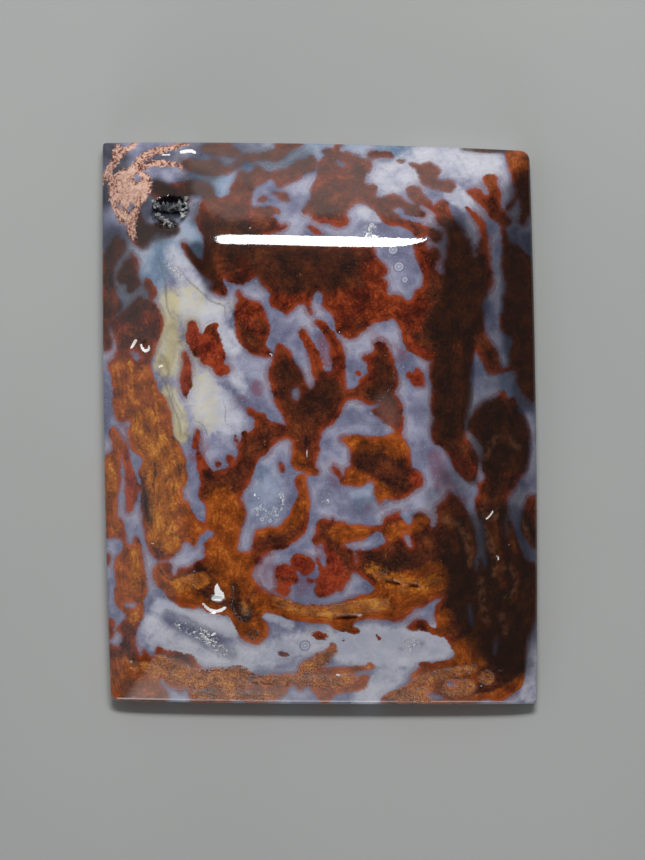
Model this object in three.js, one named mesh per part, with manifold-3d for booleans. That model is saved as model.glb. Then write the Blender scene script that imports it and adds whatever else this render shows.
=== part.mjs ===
// A plume agate cabochon: one polished stone with a flat back, an upright girdle, four slanted flanks and a low
// crown. Its face keeps the open pits of the rough, and one hollow near a corner is lined with quartz points.
// Millimetres, +Z up. The origin is the middle of the flat back, X runs across the stone and +Y is its top end.

import * as THREE from "three";
import { mergeVertices, toCreasedNormals } from "three/addons/utils/BufferGeometryUtils.js";
import Module from "manifold-3d";

// Driving dimensions of the stone.
const WIDTH = 29.4;
const LENGTH = 38.0;
const HEIGHT = 6.8;
const GIRDLE = 1.6; // height of the upright wall
const BACK_CHAMFER = 0.3; // small bevel round the back
const SHOULDER = 6.2; // height at which a flank meets the crown
const CROWN_DROP = { across: 0.9, along: 0.8 }; // how far the crown falls from its middle to the sides and the ends
const MITRE_SOFTNESS = 0.8; // rounding where two flanks meet
const SHOULDER_SOFTNESS = 1.3; // rounding where a flank meets the crown

// Corners in the order they are passed, anticlockwise seen from above. The stone was shaped by hand, so it is a
// little out of square; inset says how far a corner is pulled in from the full half width and half length.
const CORNERS = [
  { name: "bottom_left", side: [-1, -1], inset: [0.55, 0.2], round: 0.55 },
  { name: "bottom_right", side: [1, -1], inset: [0, 0], round: 0.2 },
  { name: "top_right", side: [1, 1], inset: [0.5, 0.55], round: 0.7 },
  { name: "top_left", side: [-1, 1], inset: [0, 0], round: 0.2 },
].map((c) => ({
  ...c,
  point: new THREE.Vector2(
    c.side[0] * (WIDTH / 2 - c.inset[0]),
    c.side[1] * (LENGTH / 2 - c.inset[1]),
  ),
}));

// The side that starts at the corner of the same place in CORNERS: how far it bulges between its corners, how wide
// its flank is seen from above, and its steps.
const SIDES = [
  { name: "bottom", bow: 0.1, flank: 7.0, steps: 22 },
  { name: "right", bow: 0.2, flank: 6.2, steps: 28 },
  { name: "top", bow: 0.2, flank: 5.6, steps: 22 },
  { name: "left", bow: 0.2, flank: 5.0, steps: 28 },
];
const CORNER_STEPS = 3;

// Where the rings of the face lie, from the girdle at 0 to the middle at 1, closest at the shoulder.
const RINGS = [0.07, 0.14, 0.21, 0.27, 0.32, 0.36, 0.4, 0.44, 0.48, 0.53, 0.6, 0.7, 0.84];

// The open pits: where each lies, its half widths, how deep it goes and how far it is turned.
const PITS = [
  { name: "bright bowl", at: [-6.95, -12.1], size: [0.85, 0.72], depth: 0.4, turn: 10 },
  { name: "left dimple", at: [-12.35, 5.3], size: [0.24, 0.4], depth: 0.22, turn: -30 },
  { name: "left cup", at: [-11.65, 5.15], size: [0.38, 0.42], depth: 0.26, turn: 0 },
  { name: "amber hollow", at: [-10.4, 3.9], size: [0.36, 0.78], depth: 0.35, turn: 18 },
  { name: "corner cup", at: [-12.55, -16.4], size: [0.45, 0.5], depth: 0.25, turn: 0 },
  { name: "ochre groove", at: [1.8, -13.0], size: [1.05, 0.22], depth: 0.4, turn: 5 },
  { name: "first ochre hole", at: [4.9, -10.7], size: [0.62, 0.26], depth: 0.45, turn: -12 },
  { name: "second ochre hole", at: [6.3, -10.9], size: [0.45, 0.2], depth: 0.4, turn: -8 },
];
const PIT_DETAIL = 4;
const CREASE = Math.PI / 6; // edges sharper than this are drawn sharp

// The crystal-lined hollow near the top left corner, and the quartz points on its wall.
const HOLLOW = { at: [-10.0, 14.1], size: [1.35, 1.15], depth: 1.35, turn: 12, roughness: 0.14, detail: 2 };
const QUARTZ = { rings: [7, 5], tilt: [62, 38], spread: [0.82, 0.46], radius: 0.17, height: 0.55, tip: 0.22 };

const wasm = await Module();
wasm.setup();

// A closed solid from a geometry whose faces point out.
function solidOf(geometry) {
  const bare = geometry.index ? geometry.toNonIndexed() : geometry.clone();
  bare.deleteAttribute("normal");
  bare.deleteAttribute("uv");
  const merged = mergeVertices(bare, 1e-4);
  const mesh = new wasm.Mesh({
    numProp: 3,
    vertProperties: merged.attributes.position.array,
    triVerts: new Uint32Array(merged.index.array),
  });
  return new wasm.Manifold(mesh);
}

// A geometry from a solid.
function geometryOf(solid) {
  const mesh = solid.getMesh();
  const geometry = new THREE.BufferGeometry();
  geometry.setAttribute("position", new THREE.BufferAttribute(mesh.vertProperties, 3));
  geometry.setIndex(new THREE.BufferAttribute(mesh.triVerts, 1));
  return toCreasedNormals(geometry, CREASE);
}

// The lesser of two heights, rounded where they cross.
function softLesser(a, b, softness) {
  return (a + b - Math.hypot(a - b, softness)) / 2;
}

// How far a point lies inside a side, measured square to it; the side bows out between its two corners.
function insideSide(i, x, y) {
  const a = CORNERS[i].point;
  const b = CORNERS[(i + 1) % 4].point;
  const length = a.distanceTo(b);
  const along = ((x - a.x) * (b.x - a.x) + (y - a.y) * (b.y - a.y)) / length;
  const across = ((y - a.y) * (b.x - a.x) - (x - a.x) * (b.y - a.y)) / length;
  const share = along / length;
  return across + 4 * SIDES[i].bow * share * (1 - share);
}

// Flanks and crown before the height is set.
function rawFace(x, y) {
  const [bottom, right, top, left] = SIDES.map(
    (side, i) => GIRDLE + ((SHOULDER - GIRDLE) / side.flank) * insideSide(i, x, y),
  );
  const ends = softLesser(bottom, top, MITRE_SOFTNESS);
  const sides = softLesser(left, right, MITRE_SOFTNESS);
  const flanks = softLesser(ends, sides, MITRE_SOFTNESS);
  const crown =
    HEIGHT - CROWN_DROP.across * (x / (WIDTH / 2)) ** 2 - CROWN_DROP.along * (y / (LENGTH / 2)) ** 2;
  return softLesser(flanks, crown, SHOULDER_SOFTNESS);
}

// Height of the polished face, which is HEIGHT at the middle.
function faceHeight(x, y) {
  return HEIGHT + rawFace(x, y) - rawFace(0, 0);
}

// The outline seen from above: four bowed sides with rounded corners between them.
function outline() {
  const points = [];
  CORNERS.forEach((corner, i) => {
    const next = CORNERS[(i + 1) % 4];
    const along = next.point.clone().sub(corner.point).normalize();
    const outward = new THREE.Vector2(along.y, -along.x);
    const start = corner.point.clone().addScaledVector(along, corner.round);
    const end = next.point.clone().addScaledVector(along, -next.round);
    const bulge = start.clone().add(end).multiplyScalar(0.5).addScaledVector(outward, 2 * SIDES[i].bow);
    const side = new THREE.QuadraticBezierCurve(start, bulge, end);
    points.push(...side.getPoints(SIDES[i].steps));
    const afterNext = CORNERS[(i + 2) % 4].point.clone().sub(next.point).normalize();
    const leave = next.point.clone().addScaledVector(afterNext, next.round);
    const turn = new THREE.QuadraticBezierCurve(end, next.point, leave);
    points.push(...turn.getPoints(CORNER_STEPS).slice(1, -1));
  });
  return points;
}

// The whole stone before its pits: a lathe's rings carried onto the outline, drawn in towards the middle.
function blank() {
  const edge = outline();
  const inset = 1 - BACK_CHAMFER / (WIDTH / 2);
  const levels = [
    { reach: 0, height: () => 0 },
    { reach: inset, height: () => 0 },
    { reach: 1, height: () => BACK_CHAMFER },
    { reach: 1, height: faceHeight },
    ...RINGS.map((ring) => ({ reach: 1 - ring, height: faceHeight })),
    { reach: 0, height: faceHeight },
  ];
  const profile = levels.map((level, j) => new THREE.Vector2(level.reach, j));
  const lathe = new THREE.LatheGeometry(profile, edge.length);
  const position = lathe.attributes.position;
  for (let i = 0; i <= edge.length; i++) {
    const rim = edge[i % edge.length];
    levels.forEach((level, j) => {
      const x = rim.x * level.reach;
      const y = rim.y * level.reach;
      position.setXYZ(i * levels.length + j, x, y, level.height(x, y));
    });
  }
  return solidOf(lathe);
}

// A pit: a rounded lump, sunk so that its lower half cuts into the face.
function pit({ at, size, depth, turn }) {
  const lump = new THREE.IcosahedronGeometry(1, PIT_DETAIL);
  lump.scale(size[0], size[1], depth);
  lump.rotateZ(THREE.MathUtils.degToRad(turn));
  lump.translate(at[0], at[1], faceHeight(...at));
  return solidOf(lump);
}

// The hollow: a lump whose corners are pushed in and out by a few waves, so that its wall is craggy.
function hollow() {
  const { at, size, depth, turn, roughness, detail } = HOLLOW;
  const lump = new THREE.IcosahedronGeometry(1, detail);
  const position = lump.attributes.position;
  const corner = new THREE.Vector3();
  for (let i = 0; i < position.count; i++) {
    corner.fromBufferAttribute(position, i);
    const crag = Math.sin(7 * corner.x + 2) * Math.sin(6 * corner.y) + 0.6 * Math.sin(9 * corner.z + 1);
    corner.multiplyScalar(1 + roughness * crag);
    position.setXYZ(i, corner.x * size[0], corner.y * size[1], corner.z * depth);
  }
  lump.rotateZ(THREE.MathUtils.degToRad(turn));
  lump.translate(at[0], at[1], faceHeight(...at));
  return solidOf(lump);
}

// One quartz point: a six-sided column with a pointed end, standing on the hollow's wall and leaning to its middle.
function quartzPoint(angle, tilt, spread, scale) {
  const { radius, height, tip } = QUARTZ;
  const column = new THREE.LatheGeometry(
    [
      new THREE.Vector2(0, -height),
      new THREE.Vector2(radius, -height),
      new THREE.Vector2(radius, 0),
      new THREE.Vector2(0, tip),
    ],
    6,
  );
  column.rotateX(Math.PI / 2);
  column.scale(scale, scale, scale);
  const lean = THREE.MathUtils.degToRad(-tilt);
  column.rotateY(lean);
  column.rotateZ(angle);
  const { at, size, depth } = HOLLOW;
  const x = spread * size[0] * Math.cos(angle);
  const y = spread * size[1] * Math.sin(angle);
  const sunk = -depth * Math.sqrt(1 - spread ** 2) * 0.9;
  column.translate(at[0] + x, at[1] + y, faceHeight(...at) + sunk);
  return solidOf(column);
}

// Every quartz point, in rings round the hollow, each a little different in size.
function quartzPoints() {
  return QUARTZ.rings.flatMap((count, ring) =>
    Array.from({ length: count }, (_, i) => {
      const angle = ((i + 0.5 * ring) / count) * 2 * Math.PI;
      const scale = 1 + 0.25 * Math.sin(5 * i + 3 * ring);
      return quartzPoint(angle, QUARTZ.tilt[ring], QUARTZ.spread[ring], scale);
    }),
  );
}

// The finished stone: the blank, less its pits and hollow, with the quartz points kept below the polished face.
function stone() {
  const whole = blank();
  let cut = whole.subtract(hollow());
  for (const point of quartzPoints()) cut = cut.add(point.intersect(whole));
  for (const one of PITS) cut = cut.subtract(pit(one));
  return geometryOf(cut);
}

const agate = new THREE.MeshStandardMaterial({ color: 0x8a4a2c, roughness: 0.12, metalness: 0 });

const cabochon = new THREE.Mesh(stone(), agate);
cabochon.name = "agate_cabochon";

const part = new THREE.Group();
part.add(cabochon);

export default part;
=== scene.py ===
"""A plume agate cabochon, seen from above on a pale table.

The stone is one dense surface. Its face, girdle and back follow the formulas of the part. Its pattern is
drawn: every plume is an outline in millimetres, the union of the outlines is turned into a distance
from the nearest plume edge, and that distance rides on the vertices. The shader adds grain and colour to it.
"""

import logging
import math
from dataclasses import dataclass
from enum import Enum

import bpy
import numpy as np
from mathutils import Matrix, Vector


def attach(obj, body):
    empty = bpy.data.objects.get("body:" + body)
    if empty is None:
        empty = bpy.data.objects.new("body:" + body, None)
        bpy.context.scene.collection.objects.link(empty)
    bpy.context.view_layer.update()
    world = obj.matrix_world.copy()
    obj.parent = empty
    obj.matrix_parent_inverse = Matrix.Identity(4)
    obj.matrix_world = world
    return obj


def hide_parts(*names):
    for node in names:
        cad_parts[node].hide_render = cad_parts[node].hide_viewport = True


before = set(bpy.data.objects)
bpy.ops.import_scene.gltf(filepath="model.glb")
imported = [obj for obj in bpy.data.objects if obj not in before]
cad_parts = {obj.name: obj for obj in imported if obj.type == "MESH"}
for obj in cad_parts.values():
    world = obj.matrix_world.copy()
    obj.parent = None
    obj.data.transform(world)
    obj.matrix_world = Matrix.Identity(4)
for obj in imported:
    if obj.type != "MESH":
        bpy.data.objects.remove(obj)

log = logging.getLogger("plume_agate")

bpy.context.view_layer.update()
MM = 0.001

# The eye's place over the drawing, and its height over the plane of the girdle, in millimetres.
EYE_CENTRE = (0.186, -0.457)
EYE_HEIGHT = 242.5

# How many edges of an outline are taken at once, so that the distances fit in memory.
EDGES_AT_ONCE = 16

# Keeps a division from zero.
NOT_ZERO = 1e-9

# A seed so far off that any real one is nearer, and the first reach of the search for seeds, in cells.
NO_SEED = 1e6
FIRST_REACH = 32

# Taken off a grid's count, so that a place at its very end still has a next point.
END_GAP = 1.001

Path = list[tuple[float, ...]]
Window = tuple[slice, slice]


class Draw(Enum):
    """How a shape changes the drawing."""

    ADD = "outline added"
    CUT = "outline cut away"
    STRAND = "line with a radius, added"
    GROOVE = "line with a radius, cut away"


Shape = tuple[Draw, Path]


def smooth(points: Path, closed: bool, passes: int = 2) -> np.ndarray:
    """Rounds a path by cutting its corners: a step gives way to its points at a quarter and three quarters.

    Args:
        points: The path's points, with any further values a point carries.
        closed: Whether the last point runs back to the first.
        passes: How often the corners are cut.

    Returns:
        The rounder path, one row per point.
    """
    p = np.asarray(points, float)
    for _ in range(passes):
        a, b = (p, np.roll(p, -1, axis=0)) if closed else (p[:-1], p[1:])
        cut = np.stack([0.75 * a + 0.25 * b, 0.25 * a + 0.75 * b], 1).reshape(-1, p.shape[1])
        p = cut if closed else np.concatenate([p[:1], cut, p[-1:]])
    return p


def smoothstep(low: float, high: float, value: np.ndarray) -> np.ndarray:
    """Rises from 0 at low to 1 at high as 3t squared less 2t cubed, where t is the share of the way."""
    t = np.clip((value - low) / (high - low), 0.0, 1.0)
    return t * t * (3.0 - 2.0 * t)


@dataclass(frozen=True)
class Canvas:
    """A grid in millimetres over the stone, on which distances and tones are drawn."""

    cell: float = 0.08
    half_x: float = 15.2
    half_y: float = 19.6
    reach: float = 1.2

    @property
    def counts(self) -> tuple[int, int]:
        """How many grid points lie along x and along y."""
        columns, rows = (int(round(2 * half / self.cell)) + 1 for half in (self.half_x, self.half_y))
        return columns, rows

    @property
    def grids(self) -> tuple[np.ndarray, np.ndarray]:
        """The x and y of every grid point."""
        columns, rows = self.counts
        along_x = np.linspace(-self.half_x, self.half_x, columns)
        x, y = np.meshgrid(along_x, np.linspace(-self.half_y, self.half_y, rows))
        return x.astype(np.float32), y.astype(np.float32)

    def window(self, p: np.ndarray, margin: float) -> Window:
        """The rows and columns of the grid that lie within a margin of some points.

        Args:
            p: The points, one per row.
            margin: The margin in millimetres.

        Returns:
            The rows and the columns.
        """
        low = p[:, :2].min(0) - margin
        high = p[:, :2].max(0) + margin
        cuts = []
        for axis, half, count in ((1, self.half_y, self.counts[1]), (0, self.half_x, self.counts[0])):
            start = max(int((low[axis] + half) / self.cell), 0)
            cuts.append(slice(start, min(int((high[axis] + half) / self.cell) + 2, count)))
        return cuts[0], cuts[1]

    def patch(self, x: np.ndarray, y: np.ndarray, points: Path) -> tuple[Window, np.ndarray]:
        """Distance to a closed outline: to the nearest of its edges, plus inside it and minus outside.

        A point is inside when a line from it to the right crosses an odd number of edges.

        Args:
            x: The grid's x.
            y: The grid's y.
            points: The outline's corners.

        Returns:
            The window that was worked out, and the distances in it.
        """
        p = smooth(points, True).astype(np.float32)
        w = self.window(p, self.reach)
        gx, gy = x[w][..., None], y[w][..., None]
        square = np.full(x[w].shape, np.inf, np.float32)
        crossed = np.zeros(x[w].shape, int)
        edges = np.concatenate([p, np.roll(p, -1, axis=0)], 1)
        for ax, ay, bx, by in (some.T for some in np.array_split(edges, len(edges) // EDGES_AT_ONCE + 1)):
            dx, dy = bx - ax, by - ay
            t = np.clip(((gx - ax) * dx + (gy - ay) * dy) / (dx * dx + dy * dy + NOT_ZERO), 0, 1)
            square = np.minimum(square, ((gx - ax - t * dx) ** 2 + (gy - ay - t * dy) ** 2).min(-1))
            left_of = gx < ax + (gy - ay) * dx / np.where(dy == 0, NOT_ZERO, dy)
            crossed += np.sum(((ay > gy) != (by > gy)) & left_of, -1)
        return w, np.where(crossed % 2 == 1, 1, -1) * np.sqrt(square)

    def strand(self, x: np.ndarray, y: np.ndarray, points: Path, margin: float) -> tuple[Window, np.ndarray]:
        """Distance to a line with a radius: the radius less the distance to it, the greatest of its steps.

        Args:
            x: The grid's x.
            y: The grid's y.
            points: The line's points, each with its x, y and radius.
            margin: How far round the line is worked out.

        Returns:
            The window that was worked out, and the distances in it.
        """
        p = smooth(points, False).astype(np.float32)
        w = self.window(p, margin + p[:, 2].max())
        gx, gy = x[w][..., None], y[w][..., None]
        a, b = p[:-1], p[1:]
        dx, dy = b[:, 0] - a[:, 0], b[:, 1] - a[:, 1]
        t = np.clip(((gx - a[:, 0]) * dx + (gy - a[:, 1]) * dy) / (dx * dx + dy * dy + NOT_ZERO), 0, 1)
        r = a[:, 2] + t * (b[:, 2] - a[:, 2])
        return w, (r - np.hypot(gx - a[:, 0] - t * dx, gy - a[:, 1] - t * dy)).max(-1)

    def drawing(self, shapes: list[Shape]) -> np.ndarray:
        """Draws shapes in turn, each added to the whole or cut from it.

        An added one keeps the greater distance, and a cut one the lesser of the whole's and minus its own.

        Args:
            shapes: Each a way of drawing and a path.

        Returns:
            The distance to the edge of the whole, plus inside, right near the edge alone.
        """
        x, y = self.grids
        whole = np.full(x.shape, -self.reach)
        for way, points in shapes:
            outline = way in (Draw.ADD, Draw.CUT)
            w, d = self.patch(x, y, points) if outline else self.strand(x, y, points, self.reach)
            added = way in (Draw.ADD, Draw.STRAND)
            whole[w] = np.maximum(whole[w], d) if added else np.minimum(whole[w], -d)
        return whole

    def true_distance(self, whole: np.ndarray) -> np.ndarray:
        """The distance to the zero line of a drawing, plus inside it.

        The crossings of the zero line with the grid's own lines are the seeds. Each grid point then takes
        the nearest seed that its neighbours know of, at steps that halve from the first reach to one cell.

        Args:
            whole: The drawing.

        Returns:
            The distance in millimetres.
        """
        rows, columns = whole.shape
        gx, gy = np.meshgrid(np.arange(columns, dtype=np.float32), np.arange(rows, dtype=np.float32))
        seed_x, seed_y = np.full_like(gx, NO_SEED), np.full_like(gx, NO_SEED)
        best = np.full_like(gx, NO_SEED**2)

        def offer(x: np.ndarray, y: np.ndarray) -> None:
            """Takes the offered seeds wherever they are nearer."""
            d = (gx - x) ** 2 + (gy - y) ** 2
            better = d < best
            for kept, offered in ((seed_x, x), (seed_y, y), (best, d)):
                np.copyto(kept, offered, where=better)

        for dj, di in ((0, 1), (1, 0), (0, -1), (-1, 0)):
            other = np.roll(whole, (-dj, -di), (0, 1))
            crosses = (whole > 0) != (other > 0)
            t = whole / np.where(crosses, whole - other, 1.0)
            offer(np.where(crosses, gx + di * t, NO_SEED), np.where(crosses, gy + dj * t, NO_SEED))
        step = FIRST_REACH
        while step:
            for dj in (-step, 0, step):
                for di in (-step, 0, step):
                    if dj or di:
                        offer(np.roll(seed_x, (dj, di), (0, 1)), np.roll(seed_y, (dj, di), (0, 1)))
            step //= 2
        d = np.sqrt(best) * self.cell
        return np.where(whole > 0, d, -d)

    def tone(self, strokes: list[tuple[float, float, Path]]) -> np.ndarray:
        """Lays soft strokes on one another: each is its strength inside, and falls to 0 over its softness.

        Args:
            strokes: Each a strength, a softness in millimetres and a path of x, y and radius.

        Returns:
            The strength at every grid point, the greatest of all strokes.
        """
        x, y = self.grids
        total = np.zeros(x.shape)
        for strength, soft, points in strokes:
            path = points if len(points) > 1 else [points[0], (points[0][0] + 0.01, *points[0][1:])]
            w, d = self.strand(x, y, path, soft)
            total[w] = np.maximum(total[w], strength * smoothstep(-soft, 0.0, d))
        return total

    def sample(self, values: np.ndarray, x: np.ndarray, y: np.ndarray) -> np.ndarray:
        """Values at any points, each the weighted mean of the four grid points round it.

        Args:
            values: The values at the grid points.
            x: The points' x in millimetres.
            y: The points' y in millimetres.

        Returns:
            The values at the points.
        """
        rows, columns = values.shape
        u = np.clip((x + self.half_x) / self.cell, 0, columns - END_GAP)
        v = np.clip((y + self.half_y) / self.cell, 0, rows - END_GAP)
        i, j = u.astype(int), v.astype(int)
        s, t = u - i, v - j
        low = values[j, i] * (1 - s) + values[j, i + 1] * s
        high = values[j + 1, i] * (1 - s) + values[j + 1, i + 1] * s
        return low * (1 - t) + high * t


UPPER_PLUMES: list[Shape] = [
    # Top middle mass.
    (Draw.ADD, [(0,18.4), (0.2,18.55), (0.6,18.6), (0.95,18.5), (1,18.8), (1.3,18.95), (1.65,18.85),
        (1.35,18.6), (1.3,18.35), (1.9,18.35), (2.15,18.15), (2.7,18.05), (3,17.85), (3.5,17.85),
        (3.6,17.5), (3.4,17.1), (3.1,16.9), (3,16.2), (3.3,16.1), (3.6,16.2), (3.9,16), (3.85,15.6),
        (3.75,15.2), (4.4,15.35), (5.05,15.6), (5.5,15.25), (6,14.95), (6.6,14.7), (7.1,14.3), (7.2,14.05),
        (6.8,13.95), (6,14.15), (5.2,14.2), (5.6,13.8), (6.5,13.62), (7.5,13.25), (8.3,12.9), (8.2,12.3),
        (7.7,12.2), (7.3,12.85), (6.9,12.5), (6.4,12.6), (6.2,13), (5.5,13.38), (5,13.4), (4.5,13.42),
        (4.15,13.8), (3.8,14.25), (3.3,14.75), (2.7,15), (2.3,14.85), (1.9,14.4), (1.75,14.1), (1.95,13.85),
        (1.85,13.5), (1.5,13.28), (1.1,13.28), (0.7,13.5), (0.3,13.52), (-0.2,13.6), (-0.55,13.9),
        (-0.6,14.1), (-1,14.15), (-1.25,14.25), (-1.1,14.6), (-0.85,14.9), (-0.55,15.3), (-0.6,15.9),
        (-0.3,16.4), (-0.15,16.8), (-0.2,17.2), (-0.1,17.7), (0.15,17.95), (0.35,18.05), (0.3,18.2)]),
    (Draw.CUT, [(1.1,17.9), (1.4,17.75), (1.75,17.5), (1.7,17.3), (1.4,17.25), (1.15,17.5)]),
    (Draw.CUT, [(4.9,14.45), (5.2,14.62), (5.6,14.5), (5.9,14.25), (5.5,14.1), (5,14.2)]),
    # Arm to the left of it.
    (Draw.ADD, [(-0.1,17.6), (-0.3,17.95), (-0.6,18.1), (-0.9,17.9), (-1.7,17.7), (-2.1,17.3), (-2.6,17.15),
        (-3.2,17), (-3.8,17.1), (-4.1,17.4), (-4.5,17.5), (-4.4,17.2), (-4.8,16.9), (-5.2,17.1), (-5.6,17),
        (-5.7,16.5), (-6,16), (-6.1,15.5), (-6.6,15.15), (-7.1,15.35), (-7.2,15.8), (-7.5,16.2),
        (-8.2,16.45), (-9.2,16.3), (-10.1,16.15), (-10.3,16), (-9.8,15.8), (-9.3,15.45), (-8.8,15.4),
        (-8,15.65), (-7.75,15.2), (-8.1,14.9), (-8.05,14.6), (-8.2,14.3), (-8.3,14), (-8.4,13.4), (-8,12.9),
        (-7.8,12.4), (-7.8,12), (-7.9,11.3), (-8,10.6), (-4,10.6), (-1,10.6), (3.8,11.2), (3.7,11.6),
        (3.5,12), (3.2,12.05), (2,12.05), (0,12.02), (-1.5,11.9), (-2,11.65), (-2.5,11.6), (-2.8,11.95),
        (-3.4,12.3), (-4,12.6), (-3.2,12.85), (-2.4,13.1), (-2.2,13.35), (-2.3,13.45), (-2.8,13.35),
        (-3,13.9), (-3.3,14.1), (-2.75,14.2), (-2.7,14.4), (-3.2,14.7), (-4,14.65), (-4.6,14.6), (-4.7,15),
        (-4.6,15.5), (-4.4,16.1), (-4,16.15), (-3.6,16.35), (-3.4,16.6), (-3.05,16.4), (-2.95,16),
        (-2.6,15.95), (-2.3,16.15), (-1.6,16.4), (-1.2,16.7), (-0.8,17), (-0.3,17.05)]),
    (Draw.ADD, [(-4.25,15.1), (-4.1,15.3), (-3.8,15.4), (-3.5,15.3), (-3.55,15.1), (-3.9,14.95)]),
    (Draw.ADD, [(-3.4,15.7), (-3.1,15.65), (-2.7,15.65), (-2.3,15.6), (-2.1,15.3), (-1.9,14.98), (-2.3,15),
        (-2.7,15.1), (-2.9,15.4)]),
    # Hazy bands above.
    (Draw.ADD, [(-9.4,17.6), (-9.2,17.8), (-8.6,17.9), (-7.9,17.65), (-7.5,17.8), (-7.2,18), (-6.8,17.8),
        (-6.6,17.45), (-6.1,17.35), (-5.7,17.5), (-5.5,17.9), (-5.2,18.15), (-4.5,18.2), (-4,18.25),
        (-3.6,18.4), (-3.1,18.4), (-2.9,18.8), (-3,19.1), (-1,19.1), (-1.4,18.7), (-1.9,18.5), (-2.3,18.2),
        (-2.4,17.95), (-3,17.7), (-3.6,17.85), (-4.3,17.85), (-4.6,17.6), (-4.8,17.75), (-5.2,17.7),
        (-5.6,17.2), (-6.2,16.9), (-7.2,16.75), (-8,16.85), (-8.8,17.1), (-9.2,17.3)]),
    (Draw.ADD, [(-8.1,18.6), (-7.6,18.9), (-6.8,19), (-6.1,19), (-5.9,18.7), (-5.6,18.45), (-5.3,18.2),
        (-5.7,18.05), (-6.4,18.2), (-7.1,18.15), (-7.7,18.3)]),
    # Blue streaks cut through the left arm.
    (Draw.CUT, [(-6.6,16.95), (-6.2,16.5), (-6.1,16), (-6.3,15.6), (-6.6,15.35), (-6.9,15.4), (-7.1,15.9),
        (-7.3,16.3), (-7.9,16.6), (-7.3,16.75)]),
    # Small ones on the right.
    (Draw.ADD, [(3.15,18.1), (3.3,18.35), (4,18.42), (4.6,18.4), (4.95,18.25), (5.1,18), (4.8,17.9),
        (4.2,17.95), (3.6,17.9), (3.3,17.95)]),
    (Draw.ADD, [(5.2,17.75), (5.4,17.85), (5.75,17.88), (5.9,17.75), (5.7,17.62), (5.4,17.65)]),
    (Draw.ADD, [(5.9,17.65), (6.3,17.62), (7,17.5), (7.3,17.6), (7.55,17.7), (7.7,17.5), (8,17.35),
        (8.2,17.15), (8.1,16.9), (7.95,16.75), (8,16.5), (8.25,16.35), (8.6,16.5), (9,16.4), (9.2,16.15),
        (9.1,15.8), (8.9,15.6), (8.5,15.65), (8.1,15.8), (7.7,15.9), (7.3,16), (7,16.15), (6.8,16.45),
        (6.7,16.9), (6.4,17.25)]),
    (Draw.ADD, [(5.85,15.8), (5.95,16), (6.3,16.1), (6.7,16), (6.9,15.8), (6.95,15.5), (7.3,15.2),
        (7.6,14.9), (7.7,14.6), (8,15), (8.3,15.15), (8.65,15.05), (8.75,14.7), (8.8,14.4), (8.85,14.2),
        (9.1,13.8), (9.4,13.4), (9.6,13), (9.8,12.6), (10,12.2), (10.1,11.8), (8.7,11.2), (8.7,12.9),
        (8.5,13.3), (8.1,13.4), (7.8,13.75), (7.8,14), (8,14.1), (7.7,14.3), (7.3,14.6), (7,14.75),
        (6.6,14.85), (6.3,14.9), (6.2,15.2), (5.95,15.5)]),
    # Right plumes.
    (Draw.ADD, [(9.85,15.75), (10.3,15.8), (10.7,15.9), (11,15.75), (11.1,15.4), (11.4,15.4), (11.5,15.6),
        (11.4,15.9), (11.2,16.1), (11.05,16.4), (11,16.7), (11.4,16.85), (11.85,16.8), (12.05,16.55),
        (12,16.2), (12.1,15.8), (12.25,15.5), (12.2,15), (12.2,14.6), (12.5,14.3), (12.9,14.6), (13.1,14.9),
        (13.4,15.3), (13.6,15), (13.7,14.3), (13.6,13.9), (13.4,13.7), (13.7,13.4), (13.9,13.5), (14,13.9),
        (14.2,14.1), (14.3,14.6), (14.35,16), (14.35,17.2), (14.3,17.8), (14.1,18.3), (13.8,18.5),
        (13,18.5), (12.5,18.4), (12.6,18), (12.8,17.4), (12.9,17.1), (13,16.6), (13.2,16.2), (13.3,15.8),
        (13.2,15.3), (12.9,14.9), (12.6,14.7), (12.6,14), (12.9,13.8), (12.9,13.6), (12.6,13.4),
        (12.5,13.1), (12.7,12.7), (12.8,12.3), (12.7,12), (12.4,12.1), (12.4,12.5), (12.3,13), (12.2,13.5),
        (11.9,13.7), (11.6,13.9), (11.4,14), (11.3,14.3), (11.1,14.6), (10.8,14.9), (10.5,15.1),
        (10.2,15.4)]),
    (Draw.STRAND, [(9.85,14.6,0.1), (10,14.55,0.14), (10.3,14.2,0.14), (10.7,13.85,0.2), (10.95,13.4,0.22),
        (11.1,12.9,0.22), (11.2,12.4,0.24), (11.2,11.8,0.26)]),
    (Draw.STRAND, [(-0.7,13.25,0.12), (-0.4,13.05,0.18), (0,12.85,0.14), (0.3,12.72,0.06)]),
    # Plumes round the hollow, darkened by the dark tone, which there also paints the hollow's shade.
    (Draw.ADD, [(-11.4,16.1), (-11,16.3), (-10.6,16.2), (-10.2,16), (-9.9,15.8), (-9.4,15.5), (-9,15.2),
        (-8.75,15.05), (-9.4,15.05), (-10,15.1), (-10.6,15.2), (-11.1,15.2), (-11.4,15.4)]),
    (Draw.ADD, [(-12.2,14.4), (-12,13.9), (-11.8,13.5), (-11.4,13.3), (-11,13.5), (-10.6,13.8), (-10,13.6),
        (-9.6,13.2), (-9.8,12.9), (-10.3,12.8), (-10.8,12.85), (-11.1,12.9), (-11.4,12.6), (-11.6,12.2),
        (-12,11.9), (-12.4,12), (-12.8,12.5), (-13.1,12.9), (-12.9,13.4), (-12.7,13.9), (-12.5,14.4)]),
    (Draw.STRAND, [(9.75,18.62,0.05), (10.6,18.5,0.13), (12,18.48,0.14), (12.9,18.55,0.1)]),
]

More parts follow.
